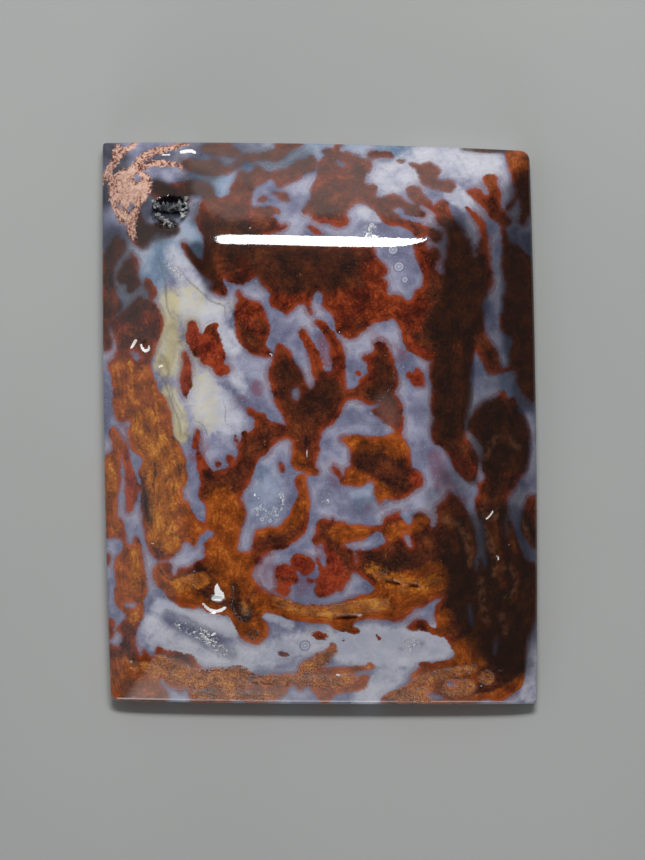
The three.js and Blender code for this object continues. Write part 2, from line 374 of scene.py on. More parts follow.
MIDDLE_PLUMES: list[Shape] = [
    # Left band and blades.
    (Draw.ADD, [(-13.1,12.3), (-13.4,11.4), (-13.9,10.8), (-13.95,10), (-13.9,9.2), (-13.7,8.6), (-13.35,8),
        (-13.5,7.6), (-14,7.1), (-14.25,6.5), (-14.2,5.9), (-14,5.5), (-14.1,5.05), (-14.4,4.9),
        (-14.7,5.1), (-14.8,7), (-14.8,11), (-14.5,11.6), (-14.2,12), (-14,12.5), (-13.8,12.75),
        (-13.5,12.5)]),
    (Draw.ADD, [(-12.7,11.6), (-12.6,11.25), (-12.35,11.2), (-12.3,10.9), (-12.4,10.3), (-12.3,9.8),
        (-12.15,9.4), (-12.4,9.1), (-12.75,8.85), (-13.05,8.95), (-13,9.3), (-13.2,9.5), (-13.45,9.45),
        (-13.75,9.7), (-13.7,10.1), (-13.4,10.6), (-13.1,11), (-12.95,11.2), (-12.8,11.2)]),
    (Draw.ADD, [(-11.75,9.95), (-11.4,9.65), (-11.1,9.1), (-11.1,8.5), (-11.4,8.3), (-11.6,8.8),
        (-11.85,9.3), (-11.9,9.6)]),
    # Big left plume, running on down the left flank.
    (Draw.ADD, [(-12.2,8.6), (-11.8,8.35), (-11.2,8.2), (-10.9,7.7), (-10.6,7), (-10.6,6.4), (-10.85,5.8),
        (-11.1,5.2), (-11.2,4.8), (-11.35,4.4), (-11.5,3.9), (-11.35,3.4), (-11.15,2.9), (-10.95,2.3),
        (-10.65,1.9), (-10.35,1.6), (-10.25,1.1), (-10.05,0.6), (-10,0), (-9.98,-0.5), (-9.85,-1),
        (-9.55,-1.3), (-9.35,-1.9), (-9.05,-2.4), (-9.05,-3), (-8.9,-3.5), (-9,-4.1), (-9.3,-4.4),
        (-9.4,-4.7), (-9.2,-5.1), (-8.9,-5.5), (-8.6,-6), (-8.4,-6.4), (-8.1,-6.65), (-7.7,-6.7),
        (-7.6,-7.1), (-8,-7.5), (-8.1,-7.65), (-8.3,-7.9), (-8.4,-8.45), (-8.6,-8.3), (-8.95,-7.9),
        (-9.3,-8.1), (-9.5,-8.6), (-9.9,-8.95), (-10.3,-9.3), (-10.8,-9.35), (-11.15,-9.1), (-11.5,-8.7),
        (-11.75,-8), (-11.9,-7.2), (-12,-6.4), (-12.1,-5.6), (-12.05,-4.8), (-12.1,-3.9), (-12.3,-3.4),
        (-12.15,-3.05), (-12,-2.8), (-12,-2.3), (-12.4,-2.1), (-12.8,-1.5), (-12.95,-0.9), (-12.95,-0.3),
        (-12.8,0), (-12.95,0.3), (-13.3,0.1), (-13.6,0.1), (-13.85,0.4), (-14,1.2), (-14,2.4), (-14.1,3.2),
        (-14.3,3.8), (-14.25,4.2), (-13.85,4.4), (-13.65,5.3), (-13.9,5.9), (-14.1,6.5), (-14.1,7),
        (-13.5,7.4), (-12.9,7.8), (-12.55,8.3)]),
    (Draw.CUT, [(-12.85,4.95), (-12.4,4.9), (-12.15,4.75), (-12.1,4.3), (-12.4,4.2), (-12.8,4.5)]),
    # Shoulder plume with its drop.
    (Draw.ADD, [(-9.4,12.2), (-9.2,11.6), (-8.85,11.15), (-8.55,10.75), (-8.25,10.35), (-7.95,10.05),
        (-7.6,9.8), (-7.35,9.65), (-7.25,9.35), (-7.35,9.1), (-7.1,8.85), (-6.85,8.65), (-6.55,8.55),
        (-6.3,8.75), (-6.3,9.05), (-6.5,9.4), (-6.6,9.75), (-6.45,9.9), (-6.2,9.6), (-5.8,9.4), (-5.2,9.35),
        (-4.9,9.55), (-4.6,9.8), (-4.2,9.9), (-4,9.5), (-3.7,9.2), (-3.4,8.95), (-3.3,8.7), (-3.45,8.3),
        (-3.3,8), (-2.9,7.75), (-2.5,7.55), (-2.3,7.25), (-2.1,7.5), (-1.8,7.7), (-1.5,8.05), (-1.1,8.15),
        (-0.9,7.9), (-0.85,7.5), (-0.5,7.25), (-0.45,7.5), (-0.7,7.85), (-0.6,8.3), (-0.4,8.8), (-0.2,8.95),
        (0.1,8.9), (0.2,8.5), (0.15,8), (0.4,7.65), (0.8,7.5), (0.95,7.1), (1,6.7), (1.1,6.3), (1.4,6),
        (1.8,5.75), (2.2,5.7), (2.6,5.95), (3,6.3), (3.4,6.6), (3.8,6.85), (4.2,6.9), (4.7,7), (5,7.15),
        (5.25,6.85), (5.45,6.5), (5.6,6), (5.65,5.4), (5.85,5), (6.3,4.75), (6.8,4.5), (7.3,4.25),
        (7.7,4.25), (7.5,3.9), (7.35,3.3), (7.5,2.9), (7.65,2.4), (7.65,1.9), (7.5,1.4), (7.6,0.9),
        (7.7,0.3), (7.65,-0.2), (7.5,-0.6), (7.6,-1.3), (8,-1.5), (8.4,-1.65), (8.75,-2.1), (8.85,-2.6),
        (9.1,-3.1), (9.5,-3.5), (10,-3.9), (10.5,-3.9), (10.7,-3.2), (10.75,-2.5), (10.5,-1.9), (10.2,-1.4),
        (9.85,-0.9), (9.75,-0.2), (9.85,0.4), (10,1.2), (10.1,2), (10.1,3), (10.25,3.9), (10.35,4.5),
        (10.5,4.95), (10.7,4.75), (11,4.3), (11.2,3.7), (11.6,3.3), (12.2,3.4), (12.7,3.5), (13.2,3.7),
        (13.45,3.3), (13.35,2.8), (13.7,2.2), (14.2,1.6), (14.6,1.3), (14.7,6), (14.6,12.4), (8.65,12.4),
        (8.6,11.4), (8.45,10.5), (8.5,10), (8.1,10.05), (7.8,10.35), (7.9,10.9), (8.1,11.3), (8.1,11.75),
        (7.7,11.8), (7.4,11.65), (7.15,12), (7.2,12.5), (6.3,12.3), (6.45,11.5), (6.6,11), (6.8,10.5),
        (7.05,10.05), (7,9.5), (6.85,9.1), (6.5,9.05), (6.35,8.7), (6.2,8.25), (5.85,8.25), (5.55,8.6),
        (5,8.72), (4.6,8.55), (4.6,9.2), (4.5,9.6), (4.15,9.85), (4.45,9.95), (4.6,10.4), (4.4,10.7),
        (4.1,11), (3.75,11.25), (3.6,11.8), (3.2,12.1), (0,12.1), (-4,12.4), (-7.75,12.4), (-7.7,11.4),
        (-7.85,10.95), (-8.3,11.2), (-8.65,11.6), (-9,12.2)]),
    # The vein down the right flank.
    (Draw.CUT, [(11.35,12.6), (11.45,11.5), (11.55,10.6), (11.65,9.9), (11.65,9.25), (11.35,8.9), (11,8.4),
        (10.9,7.9), (11.1,7.2), (11.1,6.5), (11.2,6), (11.6,5.4), (12,4.9), (12.1,4.3), (12.3,3.6),
        (12.8,3.7), (12.95,4.3), (12.85,4.8), (13,5.2), (13.15,5.6), (12.9,5.95), (12.4,6.1), (12.2,6.7),
        (12.2,7.3), (12.55,7.6), (12.45,8.2), (12.55,8.7), (12.75,9.2), (12.5,10), (12.3,10.6), (12.4,11.3),
        (12.35,12.6)]),
    # Column to the left of the middle.
    (Draw.ADD, [(-5.5,9.05), (-5.3,8.85), (-5.25,8.5), (-4.9,8.45), (-4.6,8.2), (-4.2,8.15), (-3.85,8),
        (-3.7,7.6), (-3.5,7), (-3.35,6.6), (-3.4,6.1), (-3.55,5.7), (-3.7,5.4), (-3.6,5.1), (-3.3,4.9),
        (-3.1,4.65), (-3.35,4.5), (-3.8,4.6), (-4.3,4.6), (-4.7,4.75), (-5,5), (-5.3,5.3), (-5.6,5.7),
        (-5.7,6.2), (-5.75,6.8), (-5.85,7.3), (-5.75,7.7), (-5.55,8.1), (-5.55,8.5), (-5.65,8.85)]),
    # Red cluster in the pale patch.
    (Draw.ADD, [(-8.8,6.95), (-8.5,6.95), (-8.3,6.6), (-8.15,6.2), (-8,6), (-7.8,6.25), (-7.5,6.7),
        (-7.2,6.85), (-6.9,6.75), (-6.95,6.35), (-7,6.15), (-6.75,6), (-6.7,5.6), (-6.6,5.2), (-6.4,4.8),
        (-6.35,4.4), (-6.55,4.1), (-6.3,3.95), (-6,3.65), (-6.15,3.4), (-6.6,3.2), (-7,3.3), (-7.2,3.7),
        (-7.5,3.95), (-7.9,3.95), (-8.1,4.25), (-8.05,4.5), (-8.4,4.5), (-8.65,4.75), (-8.75,5.1), (-9,5.5),
        (-9.15,5.9), (-8.95,6.2), (-8.95,6.5)]),
    (Draw.STRAND, [(-9.1,4.7,0.14), (-9,4.2,0.24), (-9,3.7,0.27), (-9.05,3,0.4), (-9,2.6,0.36),
        (-9.1,2.2,0.26), (-9.1,1.8,0.1)]),
    (Draw.STRAND, [(-1.2,6.15,0.22), (-0.9,5.6,0.28), (-0.6,5.1,0.32), (-0.4,4.6,0.36), (-0.2,4,0.42),
        (-0.1,3.4,0.4)]),
    (Draw.STRAND, [(-0.15,6.8,0.18), (0.2,6.6,0.24), (0.6,6.1,0.28), (0.9,5.6,0.36), (1.15,5,0.42),
        (1.25,4.4,0.45), (1.3,3.8,0.45)]),
    (Draw.ADD, [(-3,5.3), (-2.8,5.5), (-2.5,5.35), (-2.2,5), (-1.95,4.7), (-1.75,4.3), (-1.6,3.9),
        (-1.3,3.5), (-1.1,3.2), (-1,2.7), (-0.6,2.15), (-0.35,2.7), (-0.3,3.3), (0.1,3.9), (0.3,3.6),
        (0.7,3.4), (1,3.8), (1.65,4.1), (1.72,3.3), (1.7,2.6), (1.85,2.25), (2.3,2.35), (2.7,2.55),
        (2.6,2.9), (2.9,3.1), (3.2,3.3), (3.25,3.7), (3.2,4.1), (2.95,4.2), (2.9,4.45), (3.1,4.65),
        (3.3,4.6), (3.6,4.75), (3.75,5.1), (3.7,5.4), (4,5.6), (4.4,5.55), (4.6,5.15), (4.8,4.7), (5,4.35),
        (5.1,3.8), (5.25,3.2), (5.35,2.8), (5.25,2.4), (5,2.1), (4.65,2), (4.3,1.65), (4,1.3), (3.5,1.2),
        (3,1.35), (2.6,1.6), (2.2,1.65), (1.9,1.6), (1.7,1.4), (1.5,1), (1.35,0.6), (1.1,0.1), (0.8,-0.1),
        (0.5,-0.2), (0.25,-0.4), (0.1,-0.8), (0,-1.3), (-0.05,-1.8), (-0.2,-2.3), (-0.3,-2.7),
        (-0.35,-2.95), (-0.05,-3.2), (-0.1,-3.5), (-0.7,-3.55), (-1.2,-3.2), (-1.6,-3.15), (-1.9,-2.9),
        (-1.95,-2.4), (-1.8,-1.9), (-1.9,-1.6), (-1.8,-1.35), (-2.1,-1.05), (-2.5,-1), (-2.9,-1.2),
        (-3.3,-1.65), (-3.6,-2.1), (-3.9,-2.2), (-4.2,-2.5), (-4.4,-3), (-4.6,-3.6), (-4.8,-4.2),
        (-5.2,-4.6), (-5.35,-5), (-5.15,-5.5), (-5,-6), (-5.1,-6.6), (-5.3,-7.1), (-5.5,-7.6), (-5.5,-8.2),
        (-5.7,-8.6), (-5.3,-8.9), (-8,-8.9), (-7.75,-8.5), (-7.9,-8.1), (-7.5,-7.9), (-7.2,-7.7),
        (-7.1,-7.4), (-7.4,-7.2), (-7.7,-7.1), (-7.8,-6.6), (-7.65,-6.2), (-7.7,-5.6), (-8,-5.2),
        (-8.25,-4.9), (-8.2,-4.4), (-8,-4.1), (-8.1,-3.6), (-8.3,-3), (-8.35,-2.4), (-8.35,-1.8),
        (-8.65,-1.65), (-8.65,-1.2), (-8.4,-0.8), (-8.35,-0.5), (-8.15,-0.5), (-8.1,-0.8), (-8.2,-1.3),
        (-8.2,-1.8), (-8,-2.1), (-7.85,-2.5), (-7.6,-2.85), (-7.3,-3.2), (-7,-3.3), (-6.6,-3.15),
        (-6.1,-2.95), (-5.75,-2.7), (-5.5,-2.2), (-5.5,-1.7), (-5.7,-1.3), (-5.85,-0.8), (-5.7,-0.7),
        (-5.55,-1.1), (-5.4,-1.5), (-5.3,-1.2), (-5.3,-0.6), (-5.1,-0.5), (-4.8,-0.65), (-4.5,-0.4),
        (-4.4,0), (-4.5,0.35), (-4.8,0.6), (-5.05,0.95), (-4.9,1.15), (-4.6,0.95), (-4.2,0.8), (-4,0.55),
        (-3.75,0.75), (-3.6,0.4), (-3.4,0.1), (-3,0.1), (-2.5,-0.1), (-2.2,-0.25), (-2.35,0.1), (-2.55,0.6),
        (-2.8,1), (-3.05,1.5), (-3.2,2), (-3.25,2.5), (-3.4,2.9), (-3.55,3.4), (-3.35,3.9), (-3.15,4.3),
        (-3.05,4.8)]),
    (Draw.CUT, [(-1.95,2.3), (-1.6,2.5), (-1.3,2.3), (-1.3,1.8), (-1.5,1.4), (-1.8,1.6), (-2,1.9)]),
    # Dots in the middle.
    (Draw.ADD, [(5.85,3.1), (5.85,3.4), (6.05,3.5), (6.35,3.35), (6.4,3.7), (6.6,3.75), (6.8,3.55), (7,3.3),
        (7.15,3), (7.1,2.6), (6.9,2.45), (6.5,2.5), (6.2,2.7), (6.1,3)]),
    (Draw.ADD, [(2.4,3.45), (2.6,3.55), (2.75,3.4), (2.7,3.25), (2.5,3.25)]),
    # Lobe to the right of the middle.
    (Draw.ADD, [(1.4,-1.1), (1.6,-1.35), (1.9,-1.5), (2.1,-1.9), (2.15,-2.5), (2.1,-3), (1.7,-3.1),
        (1.6,-3.5), (1.4,-3.9), (1,-3.3), (0.8,-2.9), (1.1,-3), (1.4,-3.2), (1.5,-3.6), (1.3,-4.1),
        (1.9,-4.2), (2.4,-4.3), (2.9,-4.2), (3.3,-3.9), (3.7,-4), (3.7,-4.5), (3.85,-5.1), (4.1,-5.3),
        (4.4,-5.15), (4.9,-5.15), (5.4,-5.15), (5.9,-5), (6.15,-4.7), (6.5,-4.5), (6.9,-4.2), (7.05,-3.9),
        (6.9,-3.5), (6.75,-3.2), (6.3,-3.15), (6.2,-2.9), (6.15,-2.4), (6.1,-1.9), (5.95,-1.5), (5.8,-1.2),
        (5.5,-0.95), (5.6,-0.4), (5.65,0.2), (5.6,0.7), (5.65,1), (5.5,1.4), (5.2,1.9), (4.7,1.9),
        (4.4,1.5), (4,1.2), (3.5,0.9), (3.6,0.7), (4,0.3), (4.4,0), (4.9,-0.2), (5.1,-0.6), (4.7,-0.85),
        (4,-0.9), (3.6,-0.95), (3.2,-0.95), (2.8,-0.85), (2.3,-0.8), (1.9,-0.9)]),
    (Draw.CUT, [(9.8,13), (10.05,12.5), (10.2,11.9), (10.4,11.2), (10.65,11.3), (10.85,12.2), (10.8,12.9),
        (10.4,13.4)]),
]

LOWER_PLUMES: list[Shape] = [
    # Left edge strands.
    (Draw.ADD, [(-14.25,-0.35), (-14,-0.2), (-13.8,-0.45), (-13.55,-0.9), (-13.3,-1.3), (-13.1,-1.4),
        (-12.95,-1.9), (-12.85,-2.4), (-12.7,-3), (-12.5,-3.5), (-12.25,-4), (-12.15,-4.5), (-12.35,-5),
        (-12.6,-5.6), (-12.9,-6.2), (-13.15,-5.9), (-13.1,-5.2), (-13.15,-4.4), (-13.15,-3.5),
        (-13.25,-2.6), (-13.4,-2), (-13.5,-2.4), (-13.45,-3.2), (-13.5,-4.2), (-13.75,-5), (-13.7,-5.7),
        (-13.75,-6.3), (-13.35,-6.6), (-13.2,-7.1), (-13.1,-7.8), (-13,-8.2), (-12.75,-8.4), (-12.6,-7.9),
        (-12.4,-7.55), (-12.15,-7.9), (-12,-8.7), (-11.95,-9.6), (-11.8,-10.3), (-11.7,-11), (-11.75,-11.6),
        (-11.95,-12), (-11.85,-12.5), (-11.95,-13.1), (-12.2,-13.6), (-12.5,-14.1), (-12.5,-14.8),
        (-12.35,-15.3), (-12.15,-15.85), (-11.95,-15.7), (-11.95,-15.2), (-11.7,-15.5), (-11.45,-15.95),
        (-11.2,-15.8), (-11.1,-15.2), (-10.85,-15), (-10.6,-15.3), (-10.2,-15.45), (-9.5,-15.4),
        (-9.2,-15.55), (-8.7,-15.65), (-8.45,-15.95), (-8.3,-16.3), (-8,-16.6), (-7.7,-16.75), (-7.3,-16.6),
        (-6.7,-16.6), (-6.2,-16.5), (-5.6,-16.4), (-5.1,-16.5), (-4.7,-16.85), (-4.3,-17.05), (-3.6,-17),
        (-3,-16.95), (-2.4,-16.98), (-1.6,-16.95), (-1.3,-16.75), (-1.4,-16.4), (-1.15,-16.2), (-0.7,-15.9),
        (-0.2,-15.6), (0.3,-15.4), (0.7,-15.2), (0.65,-14.9), (0.95,-14.75), (1.15,-15.1), (1.25,-15.4),
        (0.95,-15.7), (0.6,-15.95), (0.85,-16.1), (0.4,-16.3), (0,-16.45), (0.6,-16.6), (1.2,-16.55),
        (1.7,-16.5), (2.5,-16.47), (3.2,-16.4), (3.3,-16.1), (3.55,-16.2), (3.8,-16.5), (3.4,-16.68),
        (3,-16.72), (2.5,-16.8), (2.15,-17.15), (2.7,-17.12), (3.2,-17), (3.45,-17.1), (3.2,-17.7), (3,-18),
        (2.5,-18.15), (1.8,-18.2), (1.2,-18.25), (0.95,-18.5), (0.65,-18.8), (0.4,-19.1), (0.15,-19),
        (-0.1,-18.6), (-0.3,-18.3), (-0.5,-18), (-0.8,-17.7), (-1.05,-17.9), (-1.3,-18), (-1.6,-17.85),
        (-1.9,-17.6), (-2.1,-17.9), (-2.4,-18.3), (-2.8,-18.65), (-3.2,-18.8), (-4,-18.9), (-4.6,-19),
        (-5,-18.85), (-5.5,-18.65), (-5.9,-18.75), (-6.3,-19.2), (-8.7,-19.2), (-8.7,-18.5), (-8.9,-18.1),
        (-9.1,-17.95), (-9.3,-18.2), (-9.6,-18.1), (-9.8,-17.9), (-10.2,-17.85), (-10.4,-17.6),
        (-10.65,-17.15), (-10.85,-17.3), (-10.65,-17.8), (-10.35,-18.2), (-10.3,-18.6), (-10.5,-19.1),
        (-14.3,-19.1), (-14.5,-15.2), (-14.2,-14.95), (-13.9,-15.1), (-13.55,-15.1), (-13.3,-14.5),
        (-13.45,-14.2), (-13.75,-14.05), (-13.6,-13.6), (-13.3,-13.35), (-13.1,-13.3), (-13.15,-12.9),
        (-13.4,-12.65), (-13.65,-12.5), (-13.9,-12), (-13.8,-11.2), (-13.8,-10.4), (-13.9,-9.8),
        (-13.85,-9.1), (-13.6,-8.9), (-13.25,-8.5), (-13.3,-8), (-13.6,-7.65), (-13.9,-7.75), (-14.3,-7.75),
        (-14.7,-7.6), (-14.7,-2.2), (-14.2,-2.1), (-14,-1.7), (-14,-1.2), (-14.3,-0.8)]),
    (Draw.CUT, [(-13.35,-12.2), (-12.9,-12.05), (-12.4,-12.1), (-12.4,-12.45), (-12.8,-12.6),
        (-13.2,-12.5)]),
    (Draw.ADD, [(-14.45,-8.9), (-14.3,-8.8), (-14.15,-9.2), (-14.3,-9.6), (-14.6,-9.6)]),
    (Draw.ADD, [(-14.5,-13.2), (-14.2,-13.15), (-13.9,-13.2), (-13.9,-13.7), (-14,-14.4), (-14.2,-14.6),
        (-14.5,-14.5)]),
    # Lower left mass and the long band that runs right from it.
    (Draw.ADD, [(-10.8,-9.35), (-11.2,-9.75), (-11.3,-10.2), (-11.1,-10.8), (-10.8,-11.15), (-10.35,-11.6),
        (-10,-12), (-9.4,-12.45), (-8.8,-12.6), (-8.3,-12.45), (-7.95,-12.5), (-7.65,-12.8), (-7.1,-12.92),
        (-6.5,-12.95), (-6.15,-13), (-5.95,-13.4), (-5.7,-13.9), (-5.4,-14.35), (-5.1,-14.7), (-4.6,-14.92),
        (-4.1,-15), (-3.8,-14.7), (-3.5,-14.25), (-3.45,-13.85), (-3.65,-13.45), (-3.95,-13.1),
        (-3.7,-12.85), (-3.2,-12.85), (-2.6,-13.05), (-1.9,-13.35), (-1.2,-13.45), (-0.5,-13.5),
        (0.4,-13.5), (0.85,-13.7), (1,-14), (1.5,-14.1), (2,-14.15), (2.4,-14.3), (2.75,-14.15),
        (2.65,-13.9), (2.2,-13.8), (2.3,-13.5), (2.9,-13.3), (3.5,-13.2), (4.2,-13.25), (4.8,-13.4),
        (5.3,-13.4), (5.75,-13.2), (6.1,-12.9), (6.45,-12.5), (7,-12.45), (7.45,-12.1), (8,-11.85),
        (8.5,-11.7), (8.3,-11.9), (7.9,-12.3), (7.75,-12.9), (7.85,-13.4), (8,-13.8), (7.6,-13.85),
        (7.3,-13.5), (7.1,-13.35), (6.6,-13.3), (6.2,-13.5), (5.85,-13.85), (6.2,-14.05), (6.8,-14),
        (7.3,-14.15), (7.7,-14.35), (8.2,-14.45), (8.6,-14.6), (8.75,-15), (9,-15.4), (9.25,-15.7),
        (8.8,-16), (8,-16.15), (7.4,-16.2), (6.8,-16.1), (6.6,-16.25), (6.9,-16.5), (6.5,-16.75),
        (6.2,-17.2), (6.1,-17.6), (5.6,-17.9), (5,-18.15), (4.6,-18.25), (4.1,-18.6), (4.3,-18.95),
        (4.7,-19.1), (5.2,-19.3), (9,-19.3), (9.4,-18.9), (9.8,-19.05), (10.4,-19.05), (10.9,-18.75),
        (11.4,-18.65), (11.8,-18.8), (12.2,-18.8), (12.7,-18.55), (13.3,-18.2), (13.75,-17.7),
        (13.85,-17.2), (13.9,-16.4), (13.9,-15.5), (13.95,-14.8), (14.1,-14.3), (14.4,-13.6), (14.8,-13),
        (14.8,-9.6), (14.2,-9.4), (13.9,-9.2), (13.7,-8.8), (13.4,-8.1), (13.1,-7.2), (12.7,-6.3),
        (12.55,-5.6), (12.7,-5), (13,-4.6), (13.4,-4), (13.8,-3.3), (14.05,-2.6), (14.15,-1.5), (14.1,-0.5),
        (13.85,0.1), (13.5,0.7), (13.4,1.2), (13.25,1.7), (13,1.75), (12.8,1.6), (12.5,2.2), (12.2,2),
        (11.8,1.6), (11.2,1.35), (10.8,1.1), (10.4,0.6), (10.1,0.1), (10,-0.4), (10.5,-0.9), (10.95,-1.4),
        (11.1,-2), (10.95,-2.6), (11,-3.1), (11.3,-3.7), (11,-4.1), (10.6,-3.9), (10.8,-4.6), (10.5,-5.2),
        (10.55,-5.8), (10.85,-6.4), (11,-6.9), (11.1,-7.7), (11.1,-8.5), (11.2,-9.2), (11.4,-9.9),
        (11.1,-10), (10.9,-9.3), (10.7,-9), (10.85,-9.7), (10.6,-10.2), (10.3,-9.6), (10.5,-9), (10.6,-8.4),
        (10.5,-7.6), (10.3,-6.9), (10,-6.1), (9.7,-5.5), (9.3,-5), (9,-4.8), (8.75,-4.75), (8.6,-5),
        (8.5,-5.4), (8.2,-5.4), (7.9,-5.6), (7.85,-6), (8,-6.5), (7.9,-6.9), (7.6,-7.2), (7.45,-6.9),
        (7.5,-6.5), (7.2,-6.2), (6.9,-6.05), (6.5,-6.1), (6.2,-6.2), (6.3,-6.7), (6.1,-7), (5.7,-6.7),
        (5.5,-6.3), (5.2,-5.95), (4.9,-6.2), (4.6,-6.2), (4.35,-6.4), (4.3,-6.9), (4,-7), (3.4,-6.95),
        (2.8,-6.85), (2.3,-6.9), (1.7,-6.75), (1.3,-6.7), (1,-6.65), (0.9,-6.4), (0.75,-6.7), (0.3,-6.45),
        (-0.05,-6.55), (-0.3,-6.8), (-0.2,-7.3), (-0.35,-7.6), (-0.55,-7.9), (-0.4,-8.15), (-0.1,-8.25),
        (0.1,-8.1), (0.3,-8.3), (0.4,-8.9), (0.5,-9.7), (0.2,-9.85), (0.05,-9.4), (-0.05,-9.1),
        (-0.25,-9.05), (-0.3,-9.3), (-0.1,-9.7), (0.05,-10.1), (-0.1,-10.4), (-0.3,-10.6), (-0.2,-10.9),
        (-0.4,-11.2), (-0.35,-11.5), (-0.15,-11.75), (0.2,-11.8), (0.6,-11.65), (1,-11.4), (1.2,-11.15),
        (1.35,-11.5), (1.55,-11.3), (1.6,-10.95), (1.9,-10.7), (2.05,-10.3), (2.2,-10.1), (2.6,-10.15),
        (3,-10.5), (3.4,-10.8), (3.6,-11.1), (3.9,-11.2), (3.6,-11.4), (2.9,-11.65), (2.3,-11.75),
        (1.5,-12.15), (0.8,-12.3), (0,-12.33), (-0.9,-12.28), (-1.5,-12.2), (-2.2,-12), (-2.7,-11.75),
        (-3.2,-11.6), (-3.7,-11.45), (-4.1,-11.1), (-4.3,-10.8), (-4.6,-10.3), (-4.5,-9.8), (-4.1,-9.4),
        (-3.8,-8.85), (-3.3,-8.6), (-2.6,-8.6), (-2.1,-8.35), (-1.6,-7.95), (-1.1,-7.55), (-0.8,-7),
        (-0.7,-6.2), (-0.7,-5.4), (-0.8,-4.6), (-0.9,-4), (-1,-3.4), (-1.6,-3.6), (-1.7,-4.2), (-1.4,-4.75),
        (-1.6,-5.1), (-1.85,-5.6), (-2.1,-6.2), (-2.4,-6.6), (-2.65,-6.95), (-3,-7.15), (-3.4,-6.98),
        (-3.8,-7.2), (-4.2,-7.15), (-4.4,-7.5), (-4.5,-8.1), (-4.65,-8.7), (-5,-8.85), (-5.6,-8.6),
        (-7.6,-8.6), (-7.75,-9.1), (-8.1,-9.35), (-8.4,-9.35), (-8.6,-9.7), (-9.1,-9.85), (-9.35,-9.75),
        (-9.6,-9.9), (-9.8,-10.5), (-10,-10.2), (-10.1,-9.5)]),
    # Windows in the lower right.
    (Draw.CUT, [(1.5,-8.2), (2,-8.1), (2.5,-7.95), (3.1,-7.8), (3.5,-7.6), (3.9,-7.2), (4.3,-7.5),
        (4.6,-7.9), (4.3,-8.2), (3.9,-8.4), (3.3,-8.6), (2.7,-8.65), (2.3,-8.6), (1.9,-8.4)]),
    (Draw.CUT, [(2.3,-8.55), (2.48,-8.6), (2.5,-9.3), (2.44,-9.75), (2.4,-9.7), (2.42,-9.2)]),
    (Draw.CUT, [(5.6,-7.55), (6,-7.5), (6.15,-7.8), (6.3,-8.3), (6.2,-8.5), (5.9,-8.3), (5.7,-7.9)]),
    (Draw.CUT, [(8.6,-17.55), (8.9,-17.45), (9.3,-17.55), (9.3,-17.75), (8.9,-17.85), (8.6,-17.75)]),
    (Draw.CUT, [(7.2,-18.35), (7.6,-18.25), (8.2,-18.4), (8.5,-18.6), (8.2,-18.75), (7.6,-18.7),
        (7.2,-18.55)]),
    # Right edge plume.
    (Draw.ADD, [(14.1,-5), (13.95,-5.6), (13.75,-6.3), (13.6,-6.9), (13.75,-7.5), (14.1,-8), (14.5,-8.4),
        (14.9,-8.7), (14.9,-5.2), (14.5,-4.9)]),
    # Red dots in the lower middle.
    (Draw.ADD, [(-3,-11.1), (-2.6,-10.98), (-2.1,-11.1), (-2,-11.35), (-2.3,-11.65), (-2.7,-11.6),
        (-2.95,-11.4)]),
    (Draw.ADD, [(-0.9,-10.55), (-0.7,-10.42), (-0.45,-10.55), (-0.45,-10.75), (-0.7,-10.85)]),
    (Draw.ADD, [(-6.4,-2.4), (-6.25,-2.15), (-5.9,-2.2), (-5.7,-2.5), (-5.9,-2.8), (-6.2,-2.85)]),
    (Draw.ADD, [(-7.1,-2.65), (-6.9,-2.5), (-6.7,-2.7), (-6.75,-3), (-7,-2.95)]),
    (Draw.ADD, [(-2.75,-2.6), (-2.6,-2.65), (-2.4,-3), (-2.35,-3.3), (-2.6,-3.3), (-2.7,-2.95)]),
    # Ochre and red spots on the bottom flank.
    (Draw.ADD, [(-0.65,-14.25), (-0.3,-14.1), (0.1,-14.1), (0.5,-14.25), (0.55,-14.5), (0.3,-14.7),
        (-0.1,-14.65), (-0.5,-14.5)]),
    (Draw.ADD, [(-2.85,-15.5), (-2.6,-15.35), (-2.2,-15.5), (-1.95,-15.6), (-2.2,-15.8), (-2.7,-15.8)]),
    (Draw.ADD, [(1.45,-14.6), (1.6,-14.55), (1.75,-14.65), (1.6,-14.8)]),
    (Draw.ADD, [(3.75,-14.2), (3.9,-14.25), (4.1,-14.5), (4.25,-14.65), (4,-14.7), (3.85,-14.5)]),
    (Draw.GROOVE, [(11,-6.3,0.1), (11.1,-8,0.16), (11.3,-9.6,0.1)]),
    (Draw.GROOVE, [(10.1,-12.3,0.22), (10.2,-13.2,0.22), (10.35,-13.8,0.1)]),
    (Draw.GROOVE, [(11.95,-14.6,0.16), (11.85,-15.5,0.24)]),
    (Draw.GROOVE, [(12.6,-6.2,0.1), (12.7,-7.6,0.12)]),
    (Draw.STRAND, [(3.8,1.35,0.1), (4.4,1.75,0.22), (4.95,2.05,0.14)]),
    (Draw.STRAND, [(-2.4,-10.15,0.62), (-2.2,-10.4,0.72)]),
    (Draw.STRAND, [(-1.4,-9.35,0.55), (-0.95,-9.65,0.62)]),
    (Draw.STRAND, [(-2.55,-11.25,0.34), (-2.4,-11.35,0.36)]),
]


class Tone(Enum):
    """What a soft stroke does to the colour of the stone."""

    RUST = "rust"
    ORANGE = "orange"
    OCHRE = "ochre"
    RED = "red"
    DARK = "dark_and_painted_shade"
    MILK = "milk"
    BLUE = "blue"
    CREAM = "cream"
    SLATE = "slate"
    MAUVE = "mauve"
    VEIL_AND_PAINTED_HAZE = "veil_and_painted_haze"
    DRUSE = "druse"
    PAINTED_GLINT = "painted_glint"
    CREVICE_AND_PIT_SHADE = "crevice_and_pit_shade"
    RIDGE = "ridge"


Stroke = tuple[float, float, Path]

